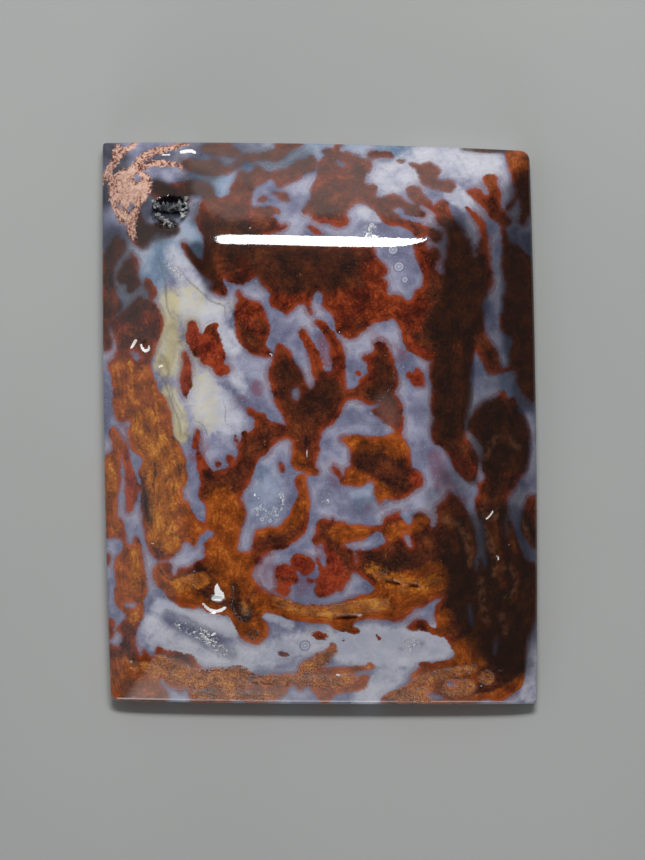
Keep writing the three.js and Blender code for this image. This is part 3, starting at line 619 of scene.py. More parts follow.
TONES: dict[Tone, list[Stroke]] = {
    Tone.RUST: [
        (1, 0.5, [(-8.8,6.2,0.6), (-7.6,5.2,0.8), (-6.9,3.6,0.5)]),
        (1, 0.5, [(-9.1,4.4,0.4), (-9.1,2.2,0.4)]),
        (0.9, 0.6, [(-6.9,8,0.3), (-4.6,7.4,0.5), (-3.2,8.4,0.4)]),
        (1, 0.8, [(-2.6,7.9,0.5), (-1.2,8,0.5), (0.6,7.4,0.6), (1.6,6.4,0.4)]),
        (1, 0.9, [(1.6,8.2,0.6), (3.2,8,0.8), (4.8,7.6,0.6), (6.2,7,0.4)]),
        (1, 0.6, [(3.4,10.6,0.4), (3.9,9.2,0.5), (4.2,8.4,0.5)]),
        (0.9, 0.5, [(6.6,11.6,0.3), (7,10.2,0.4), (6.3,8.9,0.4), (6.8,8,0.4)]),
        (0.8, 0.5, [(-5.4,11,0.2), (-4.6,9.6,0.3), (-4.4,8.6,0.3)]),
        (0.9, 0.5, [(3,4.6,0.4), (3.3,3.2,0.3)]),
        (1, 0.5, [(6.6,3.3,0.5), (6.8,2.8,0.4)]),
        (0.9, 0.4, [(-8.4,-0.6,0.2), (-8.6,-1.4,0.2)]),
        (0.9, 0.4, [(-6.1,-2.3,0.4)]),
        (0.7, 0.8, [(-13.6,6.8,0.4), (-12.2,7.2,0.4), (-11.4,6.6,0.3)]),
        (0.9, 0.5, [(0.9,6,0.3), (1.4,4.8,0.2), (1.5,3.2,0.2)]),
        (0.9, 0.5, [(-0.9,6.4,0.2), (-0.5,5,0.25), (-0.2,4,0.2)]),
        (0.8, 0.4, [(5.9,5.6,0.2), (7,4.8,0.2), (7.6,4.4,0.2)]),
        (0.8, 0.6, [(5.8,1.8,0.2), (5.3,-0.4,0.2)]),
        (0.8, 0.8, [(0.4,16.6,0.5), (1.4,16.2,0.5)]),
        (0.7, 0.6, [(-4.5,14.2,0.4), (-5.2,14.8,0.4)]),
    ],
    Tone.ORANGE: [
        (1, 1, [(-13.2,3.2,0.6), (-13,0.6,0.8), (-12.6,-2,0.8)]),
        (1, 1, [(-11.6,2.6,0.8), (-10.9,0.2,0.9), (-10.2,-3,0.9), (-9.8,-6,0.9)]),
        (1, 1.2, [(-6.6,-5.4,0.6), (-6.4,-6.5,0.9), (-6.2,-9,0.9), (-5.8,-10.6,0.9)]),
        (1, 0.6, [(-9.2,-6.6,0.5), (-8.4,-7.8,0.5)]),
        (1, 0.6, [(-11.2,-9.9,0.3), (-10.3,-11.2,0.3), (-8.8,-11.9,0.4), (-7,-12.9,0.4), (-5.8,-13.6,0.4)]),
        (1, 0.5, [(-2.6,-12.9,0.3), (0,-13.4,0.3), (2.6,-13.5,0.3), (4.8,-12.8,0.25), (6.6,-12,0.2)]),
        (1, 0.7, [(-5.4,-14.2,0.5), (-4.4,-14.4,0.6), (-3.8,-13.4,0.5), (-4,-12,0.6), (-2.4,-12.6,0.4)]),
        (1, 0.8, [(-13,-9,0.7), (-12.6,-12.2,0.7)]),
        (0.9, 1, [(-14.4,-2,0.3), (-14.3,-6.8,0.4)]),
        (0.9, 1.2, [(-13.6,-17.4,0.8), (-11.6,-17.2,0.9), (-8,-17.6,0.9), (-4,-18,0.9), (0,-17.4,0.9),
            (2.6,-17.2,0.7)]),
        (1, 1.2, [(10,-15.6,0.7), (9.4,-17.4,0.9), (6.6,-18.2,0.9)]),
        (1, 0.4, [(9.6,-18.9,0.2), (12.2,-18.5,0.2), (13.8,-17.3,0.2)]),
        (1, 0.6, [(1.3,-7.4,0.35), (2.9,-7.3,0.35)]),
        (0.9, 0.6, [(5,-7.4,0.3), (6.8,-6.6,0.3)]),
        (1, 0.8, [(3.2,-11.9,0.5), (6.4,-11.2,0.9), (7.8,-10.4,0.6)]),
        (0.8, 0.3, [(10,-6.6,0.1), (10.3,-8.2,0.15), (10.2,-9.4,0.1)]),
        (0.9, 0.3, [(11.5,-6.4,0.25), (11.9,-8,0.2), (12.2,-9.6,0.15), (12.4,-11,0.1)]),
        (0.8, 0.25, [(12.9,-7.4,0.15), (13.2,-8.6,0.1)]),
        (0.8, 0.2, [(12.5,-9.8,0.06), (12.9,-9.4,0.06), (13.4,-10.2,0.08), (13.4,-11.6,0.06),
            (12.9,-12.2,0.06)]),
        (0.7, 0.3, [(8.8,-6.4,0.15), (9.2,-8.6,0.15)]),
        (0.7, 0.3, [(10.9,-12.9,0.1), (10.4,-14.2,0.15)]),
        (0.9, 0.8, [(1.6,-1.4,0.4), (4.4,-1,0.5), (5.4,-1.6,0.4)]),
        (0.8, 0.7, [(2.4,-3.9,0.5), (4.4,-4.8,0.3)]),
        (0.7, 0.8, [(13.2,17.8,0.6)]),
        (0.7, 0.6, [(11.4,16.3,0.4)]),
        (0.8, 0.6, [(-4.4,-7,0.4), (-2.2,-6.8,0.5), (-0.9,-5.2,0.4), (-0.6,-3.6,0.3)]),
        (0.7, 0.7, [(-2.2,-1.6,0.3), (-1.3,-3,0.3)]),
        (0.8, 0.6, [(7.8,-14,0.3), (8.6,-13,0.3)]),
    ],
    Tone.OCHRE: [
        (1, 0.35, [(-12.3,0.5,0.15), (-12.4,-0.6,0.2), (-12,-1,0.15)]),
        (1, 0.12, [(-11.3,2.6,0.03), (-11,1.2,0.05), (-10.9,-0.6,0.05), (-10.6,-1.8,0.04)]),
        (1, 0.12, [(-12.9,4.2,0.03), (-12.6,2.6,0.05), (-12.7,1.4,0.04)]),
        (1, 0.12, [(-10.6,-3.6,0.04), (-10.3,-5,0.06), (-10.5,-6.6,0.04)]),
        (1, 0.12, [(-9.7,-1,0.03), (-9.6,-2.2,0.06), (-9.3,-3.4,0.05)]),
        (1, 0.35, [(-11.6,0.8,0.15), (-11.4,0,0.15)]),
        (1, 0.45, [(-11.1,-1.3,0.2), (-10.8,-2.8,0.3)]),
        (1, 0.35, [(-9.8,-2,0.2), (-9.5,-2.6,0.2)]),
        (0.9, 0.45, [(-9.4,-4,0.3)]),
        (1, 0.5, [(-11.3,-7.7,0.3), (-10,-8.2,0.4)]),
        (1, 0.45, [(-9.6,-10.9,0.3), (-8,-10.6,0.3)]),
        (0.8, 0.9, [(-11.2,-1.5,0.7), (-10.6,-4.5,0.6), (-10.8,-7,0.5)]),
        (0.8, 0.35, [(-12.5,-8.7,0.15), (-12.5,-10.8,0.2)]),
        (0.8, 0.35, [(-12.6,-13.2,0.25)]),
        (0.8, 0.35, [(-5.2,-12.3,0.12), (-5,-12.8,0.12)]),
        (1, 0.35, [(-2.9,-12,0.15), (-1.6,-12.4,0.25), (0,-12.6,0.3), (2,-12.5,0.3), (4.3,-12.2,0.25)]),
        (0.7, 0.6, [(3.6,-9.9,0.2), (6,-11.2,0.4), (8,-10.6,0.2)]),
        (0.7, 0.5, [(5.5,-18.3,0.3), (7,-18.6,0.3)]),
        (0.8, 0.4, [(8.8,-17.9,0.3), (10,-17.9,0.3)]),
        (0.8, 0.3, [(-13,-16.4,0.1), (-11.4,-16.5,0.15), (-9.8,-17.4,0.15), (-7.4,-17.7,0.15),
            (-5,-17.6,0.1)]),
        (0.8, 0.3, [(-4.2,-17.3,0.15), (-1.6,-17.4,0.2), (1,-17.6,0.2), (2.4,-17.2,0.1)]),
        (0.7, 0.3, [(-9.6,-18.3,0.1), (-6.4,-18.5,0.15), (-3,-18.5,0.1)]),
        (0.8, 0.3, [(4.6,-18.4,0.15), (6.4,-17.6,0.15), (8.2,-17,0.15), (10.4,-16.6,0.1)]),
        (0.8, 0.4, [(11.3,-17.2,0.3)]),
        (0.9, 0.35, [(-10.9,-16.1,0.2), (-9.2,-16.8,0.2)]),
        (0.9, 0.35, [(-8.3,-17.1,0.2), (-6.4,-17,0.2), (-5,-16.9,0.15)]),
        (0.8, 0.5, [(-6.3,-18,0.3)]),
        (1, 0.3, [(-1.1,-16.6,0.2), (0,-16.1,0.25), (1,-15.4,0.25)]),
        (0.8, 0.4, [(3.5,-16.4,0.3)]),
        (0.7, 0.5, [(-14.4,-2.6,0.2), (-14.2,-4.4,0.3)]),
    ],
    Tone.RED: [
        (1, 0.3, [(-13.1,-2,0.15), (-12.8,-4,0.25), (-12.8,-5.9,0.15)]),
        (0.9, 0.4, [(-11.8,16.5,0.35)]),
        (0.9, 0.2, [(-12.3,14.4,0.12)]),
        (0.7, 0.4, [(0.2,13.5,0.3), (1.3,13.3,0.3)]),
        (1, 0.6, [(0.3,-9,0.4), (0.9,-9.8,0.6), (1.2,-11,0.5), (0.3,-10.8,0.5)]),
        (1, 0.5, [(-2.4,-9.8,0.4), (-1.4,-9.5,0.5), (-0.6,-10.4,0.3), (-2.4,-11.3,0.3)]),
        (0.35, 0.35, [(-2.6,-13,0.1), (0,-13.5,0.1), (2.6,-13.6,0.1), (4.6,-13,0.08), (6.4,-12.2,0.05)]),
        (0.4, 0.4, [(10,-18.9,0.12), (12.2,-18.5,0.12), (13.7,-17.4,0.12)]),
        (0.9, 0.4, [(6.5,-3.7,0.3)]),
        (0.7, 0.5, [(8,-2.3,0.3), (9.4,-2.6,0.4), (10.2,-3.3,0.3)]),
        (0.9, 0.35, [(5,-6.2,0.3)]),
        (0.4, 0.2, [(-11,-10.4,0.1), (-10.4,-11.5,0.12), (-8.8,-12.3,0.12), (-7.6,-12.6,0.12)]),
        (0.6, 0.3, [(6,6,0.1), (6.2,5.2,0.1), (7.2,4.6,0.1)]),
        (0.8, 0.4, [(-8.8,6.2,0.4), (-7.6,5.2,0.6), (-6.9,3.8,0.4)]),
        (0.8, 0.3, [(6.4,3.2,0.3), (6.9,2.8,0.2)]),
        (0.7, 0.3, [(-8.3,-0.9,0.15), (-8.6,-1.5,0.15)]),
        (0.6, 0.3, [(-9.1,4.6,0.2), (-9.1,2.2,0.2)]),
        (0.5, 0.4, [(-5.4,7.4,0.2), (-4,6,0.2)]),
        (0.7, 0.4, [(-8.2,-3,0.2), (-8,-2.2,0.2)]),
    ],
    # The dark tone: partly the plumes' own dark colour, and partly painted shade: the right flank darkened as
    # if turned from the light, and the walls and hole of the hollow near the top left painted black.
    Tone.DARK: [
        (0.8, 0.5, [(-11.9,12.3,0.3), (-11.3,13.1,0.3), (-10.6,13.3,0.2)]),
        (0.7, 0.5, [(-7.85,14,0.15), (-7.5,13.3,0.3), (-7.45,12,0.25), (-7.6,10.9,0.2)]),
        (0.95, 1.6, [(10.2,-7.6,1), (10.4,-11,1.4), (11.4,-13,1.8), (12.9,-16,0.8)]),
        (0.9, 1.6, [(12.6,-7.2,1.4), (13,-10,1.2), (13,-14,1.2)]),
        (0.75, 1.2, [(8.8,3.8,0.8), (8.8,0,0.8)]),
        (0.85, 1.4, [(11.6,0.4,1), (12.2,-1.6,1.4)]),
        (0.85, 1.4, [(9,12.6,0.8), (9.8,10.6,1.2), (10,7.6,1.2), (8.6,6.6,0.8)]),
        (0.9, 1.2, [(13.6,14.6,0.6), (13.8,10,1.2), (13.8,6,1.2), (14.2,2,0.7)]),
        (0.8, 0.8, [(14.3,16.2,0.4), (13.4,15.6,0.5)]),
        (0.75, 1, [(-13.8,12.4,0.5), (-13.5,9.8,0.7), (-12.2,8.6,0.5), (-12.8,7.8,0.6)]),
        (0.9, 0.8, [(-14.6,18.6,0.4), (-13.2,17.9,0.3), (-14.5,15.2,0.3)]),
        (0.7, 0.8, [(-11.7,15.4,0.3), (-11.9,14.2,0.4)]),
        (0.5, 1.8, [(12.4,13,0.5), (12.4,8,0.6), (12.2,3.6,0.8), (12.6,-2,1), (13.2,-6,0.8)]),
        (0.6, 1, [(8.9,-3.8,0.3), (9.4,-5.2,0.5), (9,-6.2,0.4)]),
        (0.65, 0.8, [(13.6,-4.4,0.4), (13.7,-7,0.3), (14.4,-9.5,0.2)]),
        (1, 0.5, [(11.1,-6.3,0.3), (11.1,-8,0.3), (11.3,-9.6,0.3)]),
        (1, 0.5, [(10.2,-12.4,0.3), (10.2,-13.7,0.3)]),
        (1, 0.5, [(11.9,-14.6,0.3), (11.9,-15.5,0.3)]),
        (0.9, 0.4, [(10,5.4,0.25), (10.1,2.6,0.25), (9.9,-0.2,0.25)]),
        (0.9, 0.4, [(13.4,0.9,0.25), (14,-0.8,0.25), (13.7,-3,0.3)]),
        (0.75, 0.5, [(8.9,-1.6,0.25), (9.6,-2.8,0.35), (10.3,-3.8,0.25)]),
        (0.6, 0.6, [(12.4,4,0.3), (12.3,3.2,0.3)]),
        (0.7, 0.3, [(9.7,18.62,0.1), (11.2,18.5,0.15), (12.9,18.55,0.1)]),
        (0.5, 0.6, [(13.6,16.8,0.3), (14.2,17.6,0.2)]),
        (0.6, 0.5, [(-8.4,14.6,0.2), (-8.5,13.8,0.2)]),
        (0.6, 0.7, [(-11.6,18,0.2), (-9.6,17.9,0.2)]),
        (0.6, 1, [(-8.2,18.5,0.3), (-5,17.9,0.4), (-1.2,17.9,0.4)]),
        (0.7, 0.8, [(-8.6,17.4,0.4), (-6.8,17.2,0.4), (-9.4,16.2,0.4), (-7.8,15.8,0.4)]),
        (1, 0.3, [(-10.9,14.7,0.35), (-9.9,14.3,0.45), (-9.3,14.5,0.3)]),
        (1, 0.25, [(-10.2,13.6,0.35), (-9.9,13.1,0.3)]),
        (0.7, 0.8, [(-14.4,18.3,0.4), (-14.4,17.6,0.3), (-13.2,17.7,0.2)]),
        (0.5, 0.8, [(-14.5,8,0.3), (-14.6,5.6,0.3)]),
        (0.5, 0.5, [(-11.5,-6.4,0.2), (-11.7,-4.8,0.15)]),
        (0.5, 0.6, [(3.5,-9.2,0.3), (6.5,-9.2,0.4)]),
        (0.7, 0.35, [(-5.7,-11,0.15), (-5.7,-12.4,0.2), (-5,-13.2,0.2), (-4.6,-12.4,0.1)]),
        (0.55, 1.6, [(-6.4,12.8,0.6), (-4.2,11,1), (-1.6,10.4,1), (1.2,10.6,1)]),
        (1, 0.5, [(-11.1,16.1,0.3), (-10.2,15.6,0.35), (-9.2,15.2,0.2)]),
        (0.9, 0.6, [(-12.2,13.2,0.5), (-11.4,12.8,0.4), (-10.4,13,0.3)]),
        (0.8, 0.5, [(-8.3,11.6,0.5), (-7.6,10.4,0.4), (-7.3,9.4,0.3)]),
        (0.5, 1, [(4.4,3.2,0.5), (4.2,2,0.4)]),
        (0.5, 1, [(3.2,-2.2,0.6)]),
        (0.5, 0.8, [(-2,3.4,0.5), (-1.6,1,0.6), (0.4,2.2,0.5)]),
        (0.5, 0.8, [(7.8,-5,0.4), (8.6,-8.4,0.5)]),
        (0.5, 0.8, [(7.8,-10.4,0.5), (8.4,-9.4,0.4)]),
    ],
    Tone.MILK: [
        (0.8, 0.9, [(8.2,18.2,0.3), (10,17.9,0.5), (11.4,17.3,0.4)]),
        (0.9, 1.6, [(-8,2.2,0.4), (-7,0.8,0.7), (-6.2,0.2,0.4)]),
        (0.8, 1, [(-9,8,0.4), (-6.9,7.5,0.4)]),
        (0.8, 1, [(-9.9,11.4,0.2), (-9,10,0.4), (-8.6,9,0.4)]),
        (0.8, 1, [(-7.4,6.6,0.3), (-6,5.4,0.4)]),
        (0.85, 1.4, [(4.6,16.4,0.4), (7.4,18,0.6), (10,17.8,0.7), (11.4,17.6,0.4)]),
        (0.9, 0.8, [(-10.8,-12.4,0.2), (-8.6,-13.2,0.25), (-6,-13.9,0.25)]),
        (0.8, 1.2, [(-10.2,-14.6,0.3), (-8,-15.6,0.3), (-4.4,-16,0.3), (-2.6,-15.2,0.3), (0.6,-14.6,0.3)]),
        (1, 1.2, [(2,-15,0.8), (5.5,-15.2,0.8), (8,-14.8,0.7)]),
        (0.7, 1, [(-11.2,-13.7,0.5), (-10.6,-15,0.4)]),
        (0.8, 0.5, [(-3.9,-12.9,0.1), (-3,-13.2,0.12), (-2,-13.6,0.1)]),
        (0.8, 1, [(4.8,-17,0.5), (3,-18.6,0.4)]),
        (0.7, 0.6, [(14.4,-16,0.3), (14.2,-18.3,0.4)]),
        (0.8, 0.6, [(9,15.6,0.4), (9.9,14.9,0.3)]),
        (0.7, 0.6, [(-5.6,3,0.3), (-5.3,2.4,0.2)]),
        (0.7, 0.5, [(3,14.2,0.3), (4,14,0.2)]),
    ],
    Tone.BLUE: [
        (1, 1.6, [(-12.4,9.4,1), (-11.4,11.5,1), (-9.8,12.6,0.5)]),
        (0.9, 1, [(-8.6,13,0.4), (-8.8,11.6,0.3)]),
        (0.9, 1.4, [(-7.6,17,0.5), (-6.6,16.4,0.5)]),
        (0.8, 1.6, [(-4,17.4,0.6), (0,18.7,0.5), (5,18.8,0.4), (9,18.8,0.3)]),
        (0.6, 1.4, [(11.6,4.2,0.6), (12.6,3,0.6)]),
        (0.6, 1, [(3.4,-5,0.8), (5.4,-5.6,0.5)]),
        (0.5, 1.2, [(-3.6,-3.6,0.6), (-3.8,-5.6,0.6)]),
    ],
    Tone.CREAM: [
        (0.9, 1.5, [(-10.1,8.4,0.1), (-10.4,6.4,0.3), (-10.2,4,0.3)]),
        (0.9, 0.9, [(-10.2,2,0.2), (-9.6,0.4,0.2), (-9.4,-0.8,0.15)]),
        (0.5, 1.2, [(-9,7.4,0.6), (-7.6,0.4,0.5)]),
        (0.55, 0.7, [(-8.9,9,0.4), (-8.2,8.3,0.3)]),
        (0.35, 0.8, [(-8,8.2,0.4), (-6.2,8,0.3)]),
    ],
    Tone.SLATE: [
        (0.8, 0.8, [(-10.2,-13.1,0.15), (-8.6,-13.9,0.3), (-7.2,-14.9,0.3), (-5.9,-15.7,0.1)]),
        (0.4, 0.7, [(5.6,-15,0.1), (6.6,-14.8,0.2)]),
        (0.4, 0.6, [(6.8,-0.6,0.3), (6.7,1.4,0.3)]),
        (0.7, 1.2, [(11,13.2,0.4), (11.6,9,0.6), (11.8,6.6,0.5)]),
        (0.8, 1.4, [(11.4,4.4,0.8), (13,3,0.8), (14.2,-1,0.6), (13.6,-5,0.8)]),
        (0.7, 1, [(14.2,-9,0.5), (14.3,-14,0.4)]),
        (0.4, 0.5, [(-10.2,10.6,0.3), (-9.8,10,0.2)]),
        (0.7, 0.6, [(9.4,13.6,0.3), (9.6,11.8,0.3)]),
        (0.6, 0.6, [(0.4,-5.1,0.4)]),
        (0.7, 0.6, [(2.6,-5.6,0.3), (4.4,-5.3,0.3)]),
        (0.6, 0.8, [(2,0.6,0.4), (3,0.4,0.3)]),
        (0.6, 0.6, [(-14.6,14,0.3), (-14.4,12.6,0.3), (-14.5,10,0.3)]),
    ],
    Tone.MAUVE: [
        (0.8, 0.5, [(-4.2,2.4,0.35)]),
        (0.4, 0.6, [(-5.4,1.5,0.2), (-4.9,0.9,0.2)]),
        (0.8, 0.8, [(-3.8,-9.3,0.4), (-3.4,-10.4,0.5), (-3.2,-11.4,0.4)]),
        (0.7, 0.6, [(0.3,-8.6,0.4), (0.6,-7.3,0.4)]),
        (0.8, 0.6, [(0.3,5.6,0.3), (0.7,4.2,0.3)]),
        (0.7, 0.5, [(-0.9,1.2,0.3), (-1.4,-0.8,0.3)]),
        (0.8, 0.7, [(7.4,11.6,0.3), (8,10.6,0.4)]),
        (0.7, 0.7, [(7.9,-2.4,0.4), (8.4,-4.4,0.4), (9.4,-5.4,0.4)]),
        (0.8, 0.5, [(-13.4,-0.4,0.25), (-13.2,-1.5,0.2)]),
        (0.7, 0.5, [(-8.4,-2.2,0.3), (-7.8,-1.4,0.2)]),
        (0.7, 0.4, [(1.5,-1,0.2)]),
        (0.6, 0.5, [(5.4,4.6,0.3), (3.5,6,0.2)]),
        (0.5, 0.5, [(3.2,-5.9,0.2), (4.6,-5.6,0.3), (6,-5.7,0.2)]),
        (0.5, 0.6, [(0.8,-2.8,0.3), (1.2,-4,0.3)]),
        (0.4, 0.5, [(-9,-4.4,0.3), (-8.8,-5.2,0.2)]),
        (0.7, 0.5, [(-12.5,4.8,0.2)]),
        (0.5, 0.9, [(-1.5,-10.6,0.8)]),
    ],
    # The veil: a milky haze over plumes that lie deeper under the chalcedony, and along the top flank a
    # painted reflection haze.
    Tone.VEIL_AND_PAINTED_HAZE: [
        (0.6, 0.6, [(-8,16,0.35), (-7.2,15.3,0.4), (-6.9,14.6,0.3), (-6.2,15.9,0.3)]),
        (0.7, 1.2, [(-8,18,0.5), (-4,17.2,1), (0,17,1.4), (4,16.4,1.2), (8,16.6,1)]),
        (0.6, 0.8, [(-6,15,0.8), (-4,14.8,0.5), (2,15.2,0.6), (6,14.6,0.4)]),
        (0.5, 1, [(4.5,1.2,0.3), (4.7,0.4,0.3)]),
        (0.4, 1, [(-12.7,-18,0.4)]),
    ],
    # Druzy pockets: pale crystals whose glitter is painted as light and grey specks.
    Tone.DRUSE: [
        (1, 0.2, [(-9.6,-13.6,0.12), (-8.4,-14,0.25), (-7.6,-14.4,0.3), (-6.5,-15.4,0.15)]),
        (0.6, 0.3, [(6.2,-14.9,0.4)]),
        (0.8, 0.25, [(0.5,-5.1,0.2)]),
        (0.5, 0.25, [(-10.3,10.8,0.1), (-9.8,10.3,0.15), (-9.4,9.9,0.1)]),
        (0.7, 0.3, [(3.5,13,0.3)]),
        (0.5, 0.25, [(-4.3,-5.8,0.1), (-3.6,-6.2,0.15), (-2.7,-5.7,0.12), (-2.6,-5,0.1)]),
    ],
    # Painted highlights: near-white spots in the colour that stand for reflections in small pits and facets
    # of the face.
    Tone.PAINTED_GLINT: [
        (1, 0.1, [(-12.75,5.1,0.04), (-12.45,5.6,0.07)]),
        (1, 0.1, [(-12.1,5.3,0.05), (-11.9,4.85,0.06), (-11.55,4.95,0.06), (-11.55,5.25,0.03)]),
        (1, 0.12, [(-6.95,-10.9,0.03), (-6.95,-11.4,0.2), (-6.6,-11.75,0.24), (-7.2,-11.85,0.1)]),
        (1, 0.1, [(-7.9,-12.2,0.04), (-7.5,-12.65,0.07), (-6.9,-12.75,0.08), (-6.4,-12.5,0.06)]),
        (0.9, 0.08, [(-11.3,-8.15,0.05)]),
        (0.9, 0.08, [(1.3,6.15,0.04)]),
        (0.9, 0.08, [(-3.35,4.72,0.04), (-3.25,4.6,0.04)]),
        (0.9, 0.08, [(-4.4,-4.9,0.06), (-4.45,-4.75,0.03)]),
        (0.9, 0.08, [(4.2,-6,0.05)]),
        (0.9, 0.08, [(11.25,-6.5,0.04), (11.5,-6.3,0.04), (11.75,-5.9,0.02)]),
        (1, 0.08, [(12.85,-8.25,0.05)]),
        (0.8, 0.1, [(12,-9,0.05), (12.15,-9.3,0.03)]),
        (0.9, 0.08, [(1.2,-17,0.07), (1.35,-17.05,0.04)]),
        (0.9, 0.08, [(10.95,-17.8,0.05)]),
        (0.9, 0.08, [(-4.7,13.2,0.05)]),
        (0.8, 0.08, [(-4.3,9.6,0.04)]),
        (0.8, 0.08, [(-10.6,11.4,0.03)]),
        (0.9, 0.1, [(-8.1,-14.2,0.05), (-7.9,-14.3,0.03)]),
        (1, 0.08, [(-7.3,-14.35,0.06), (-7.05,-14.2,0.03)]),
        (0.9, 0.08, [(-6.3,-15.4,0.06)]),
        (0.9, 0.1, [(-9.2,-13.85,0.03)]),
        (0.7, 0.1, [(-0.85,-1.8,0.04), (-0.9,-2.4,0.05)]),
        (0.8, 0.1, [(-10.7,18.15,0.03), (-10.1,18.2,0.04)]),
        (0.9, 0.12, [(-9.4,18.35,0.07), (-8.7,18.45,0.1), (-8.4,18.3,0.04)]),
        (0.6, 0.08, [(-12.95,-16.6,0.07), (-12.6,-16.8,0.04), (-12.3,-16.5,0.03)]),
    ],
    Tone.RIDGE: [
        (1, 0.25, [(8.4,-6.6,0.1), (9.3,-6.7,0.1), (9.9,-7.6,0.12), (10.2,-8.8,0.1), (10.1,-9.6,0.06)]),
        (1, 0.25, [(11.1,-7.1,0.08), (11.5,-8.1,0.14), (12,-9.1,0.12), (11.8,-10.2,0.06)]),
        (0.9, 0.15, [(12.3,-9.9,0.05), (12.9,-9.6,0.06), (13.3,-10.4,0.06), (13.2,-11.4,0.05),
            (12.6,-11.8,0.05)]),
        (0.9, 0.2, [(11,-5.9,0.06), (11.3,-6.5,0.1), (11.9,-6.4,0.08), (12.1,-5.8,0.05)]),
        (0.8, 0.2, [(13.8,-6.6,0.06), (14.1,-7.6,0.08), (14,-8.6,0.05)]),
        (0.7, 0.3, [(10.9,-10.6,0.06), (11,-12,0.08), (11.3,-13.4,0.06)]),
        (0.6, 0.3, [(12.3,-12.9,0.06), (12.6,-14.2,0.06)]),
        (0.6, 0.3, [(11.2,-2.3,0.08), (11.6,-1.2,0.1), (12.6,-0.9,0.08), (13.4,-1.6,0.08)]),
    ],
    # Dark crevices: dark veins in the plumes, and painted shade inside the pits and the groove of the face.
    Tone.CREVICE_AND_PIT_SHADE: [
        (1, 0.12, [(-11.2,-2.4,0.05), (-11.1,-3.4,0.1), (-11.3,-4.4,0.08)]),
        (1, 0.12, [(-11.9,-4.2,0.05), (-11.7,-5.6,0.1), (-11.6,-6.6,0.08)]),
        (0.9, 0.1, [(-10.2,-2.6,0.04), (-9.9,-3.8,0.05), (-9.9,-5,0.04)]),
        (0.8, 0.1, [(-12.4,0.8,0.04), (-12.6,-0.4,0.05), (-12.3,-1.2,0.05)]),
        (0.9, 0.1, [(-9.4,-2.6,0.05), (-9.45,-3.6,0.06)]),
        (0.9, 0.12, [(-11,-9.6,0.06), (-10.4,-10.6,0.12), (-9.4,-10.4,0.1), (-8.3,-10,0.08)]),
        (1, 0.1, [(-5.9,-11,0.05), (-6,-12.4,0.08), (-5.5,-13.3,0.1), (-4.9,-13.4,0.08),
            (-4.6,-12.6,0.05)]),
        (1, 0.1, [(-4.85,-14.2,0.05), (-4.5,-13.95,0.06), (-4.15,-14.2,0.05), (-4.4,-14.6,0.06),
            (-4.8,-14.5,0.05)]),
        (0.6, 0.1, [(0.9,-12.95,0.03), (1.9,-12.95,0.05), (2.8,-12.75,0.03)]),
        (0.9, 0.1, [(-3.2,-11.9,0.03), (-1.6,-12.2,0.05), (0.4,-12.4,0.04), (2.4,-12.2,0.05)]),
        (0.9, 0.1, [(2.4,-8.6,0.03), (2.45,-9.8,0.04)]),
        (0.9, 0.12, [(4.2,-10.6,0.08), (4.9,-10.8,0.12), (5.4,-10.9,0.06)]),
        (0.9, 0.12, [(5.8,-10.8,0.06), (6.6,-11,0.1)]),
        (0.8, 0.12, [(-8.4,-16.8,0.05), (-6.4,-16.6,0.08), (-4.4,-17,0.05)]),
        (0.8, 0.1, [(11.4,-16.7,0.04), (12.4,-16.75,0.05)]),
        (0.8, 0.1, [(-1,-16.9,0.05), (0.6,-16.1,0.05)]),
        (0.7, 0.12, [(5,5.2,0.04), (5.1,3.6,0.06), (4.9,2.4,0.08), (4,1.5,0.05)]),
    ],
}

# Pale growths at the top left corner, over everything else.
PALE_PLUMES: list[Shape] = [
    (Draw.ADD, [(-13.87,17.06), (-13.12,17.3), (-12.37,17.2), (-11.7,17.06), (-11.25,16.5), (-11.4,15.74),
        (-11.62,15.18), (-12.18,14.6), (-12.37,13.86), (-12.5,13.1), (-12.4,12.5), (-12.65,12.36),
        (-12.93,12.73), (-13.12,13.5), (-13.5,13.86), (-13.87,14.6), (-14.06,15.55), (-13.87,16.3)]),
    (Draw.CUT, [(-12.4,16.9), (-12.1,16.6), (-12.3,16.3), (-12.6,16.5)]),
    (Draw.STRAND, [(-14,16.6,0.3), (-13.9,15.5,0.4), (-13.6,14.6,0.4), (-13.4,13.7,0.25)]),
    (Draw.GROOVE, [(-12.6,14.9,0.04), (-12.9,14.4,0.07)]),
    (Draw.GROOVE, [(-13.7,14.9,0.05), (-13.4,14.5,0.08)]),
    (Draw.STRAND, [(-14.75,16.3,0.18), (-14.25,17.06,0.26), (-13.87,17.8,0.26), (-13.3,18.4,0.22),
        (-12.4,18.98,0.16)]),
    (Draw.STRAND, [(-13.6,18.85,0.14), (-13.8,18.2,0.3), (-13.9,17.5,0.2)]),
    (Draw.STRAND, [(-12.75,16.9,0.3), (-12.2,17.8,0.3), (-11.4,18.33,0.28), (-10.3,18.6,0.24),
        (-8.8,18.98,0.12)]),
    (Draw.STRAND, [(-12.4,17.24,0.24), (-11.6,17.5,0.22), (-10.5,17.62,0.22), (-9.6,17.5,0.2),
        (-9.36,17.25,0.1)]),
]

# Round growths in the pockets, each a middle and a radius.
ORBS: list[Path] = [
    [(5.35,10.6,0.42)], [(5.75,9.72,0.26)], [(4.95,11.75,0.4)], [(3.35,12.75,0.3)], [(3.5,13.4,0.22)],
    [(-3.9,-6.5,0.2)], [(-3.35,-6.6,0.2)], [(-4.2,-6.2,0.13)], [(-4,-5.6,0.15)], [(-4.15,-5.1,0.12)],
    [(-2.9,-6.25,0.14)], [(-2.6,-5.8,0.16)], [(-2.5,-5.25,0.13)], [(-2.75,-4.8,0.1)], [(-1,-15.05,0.4)],
]

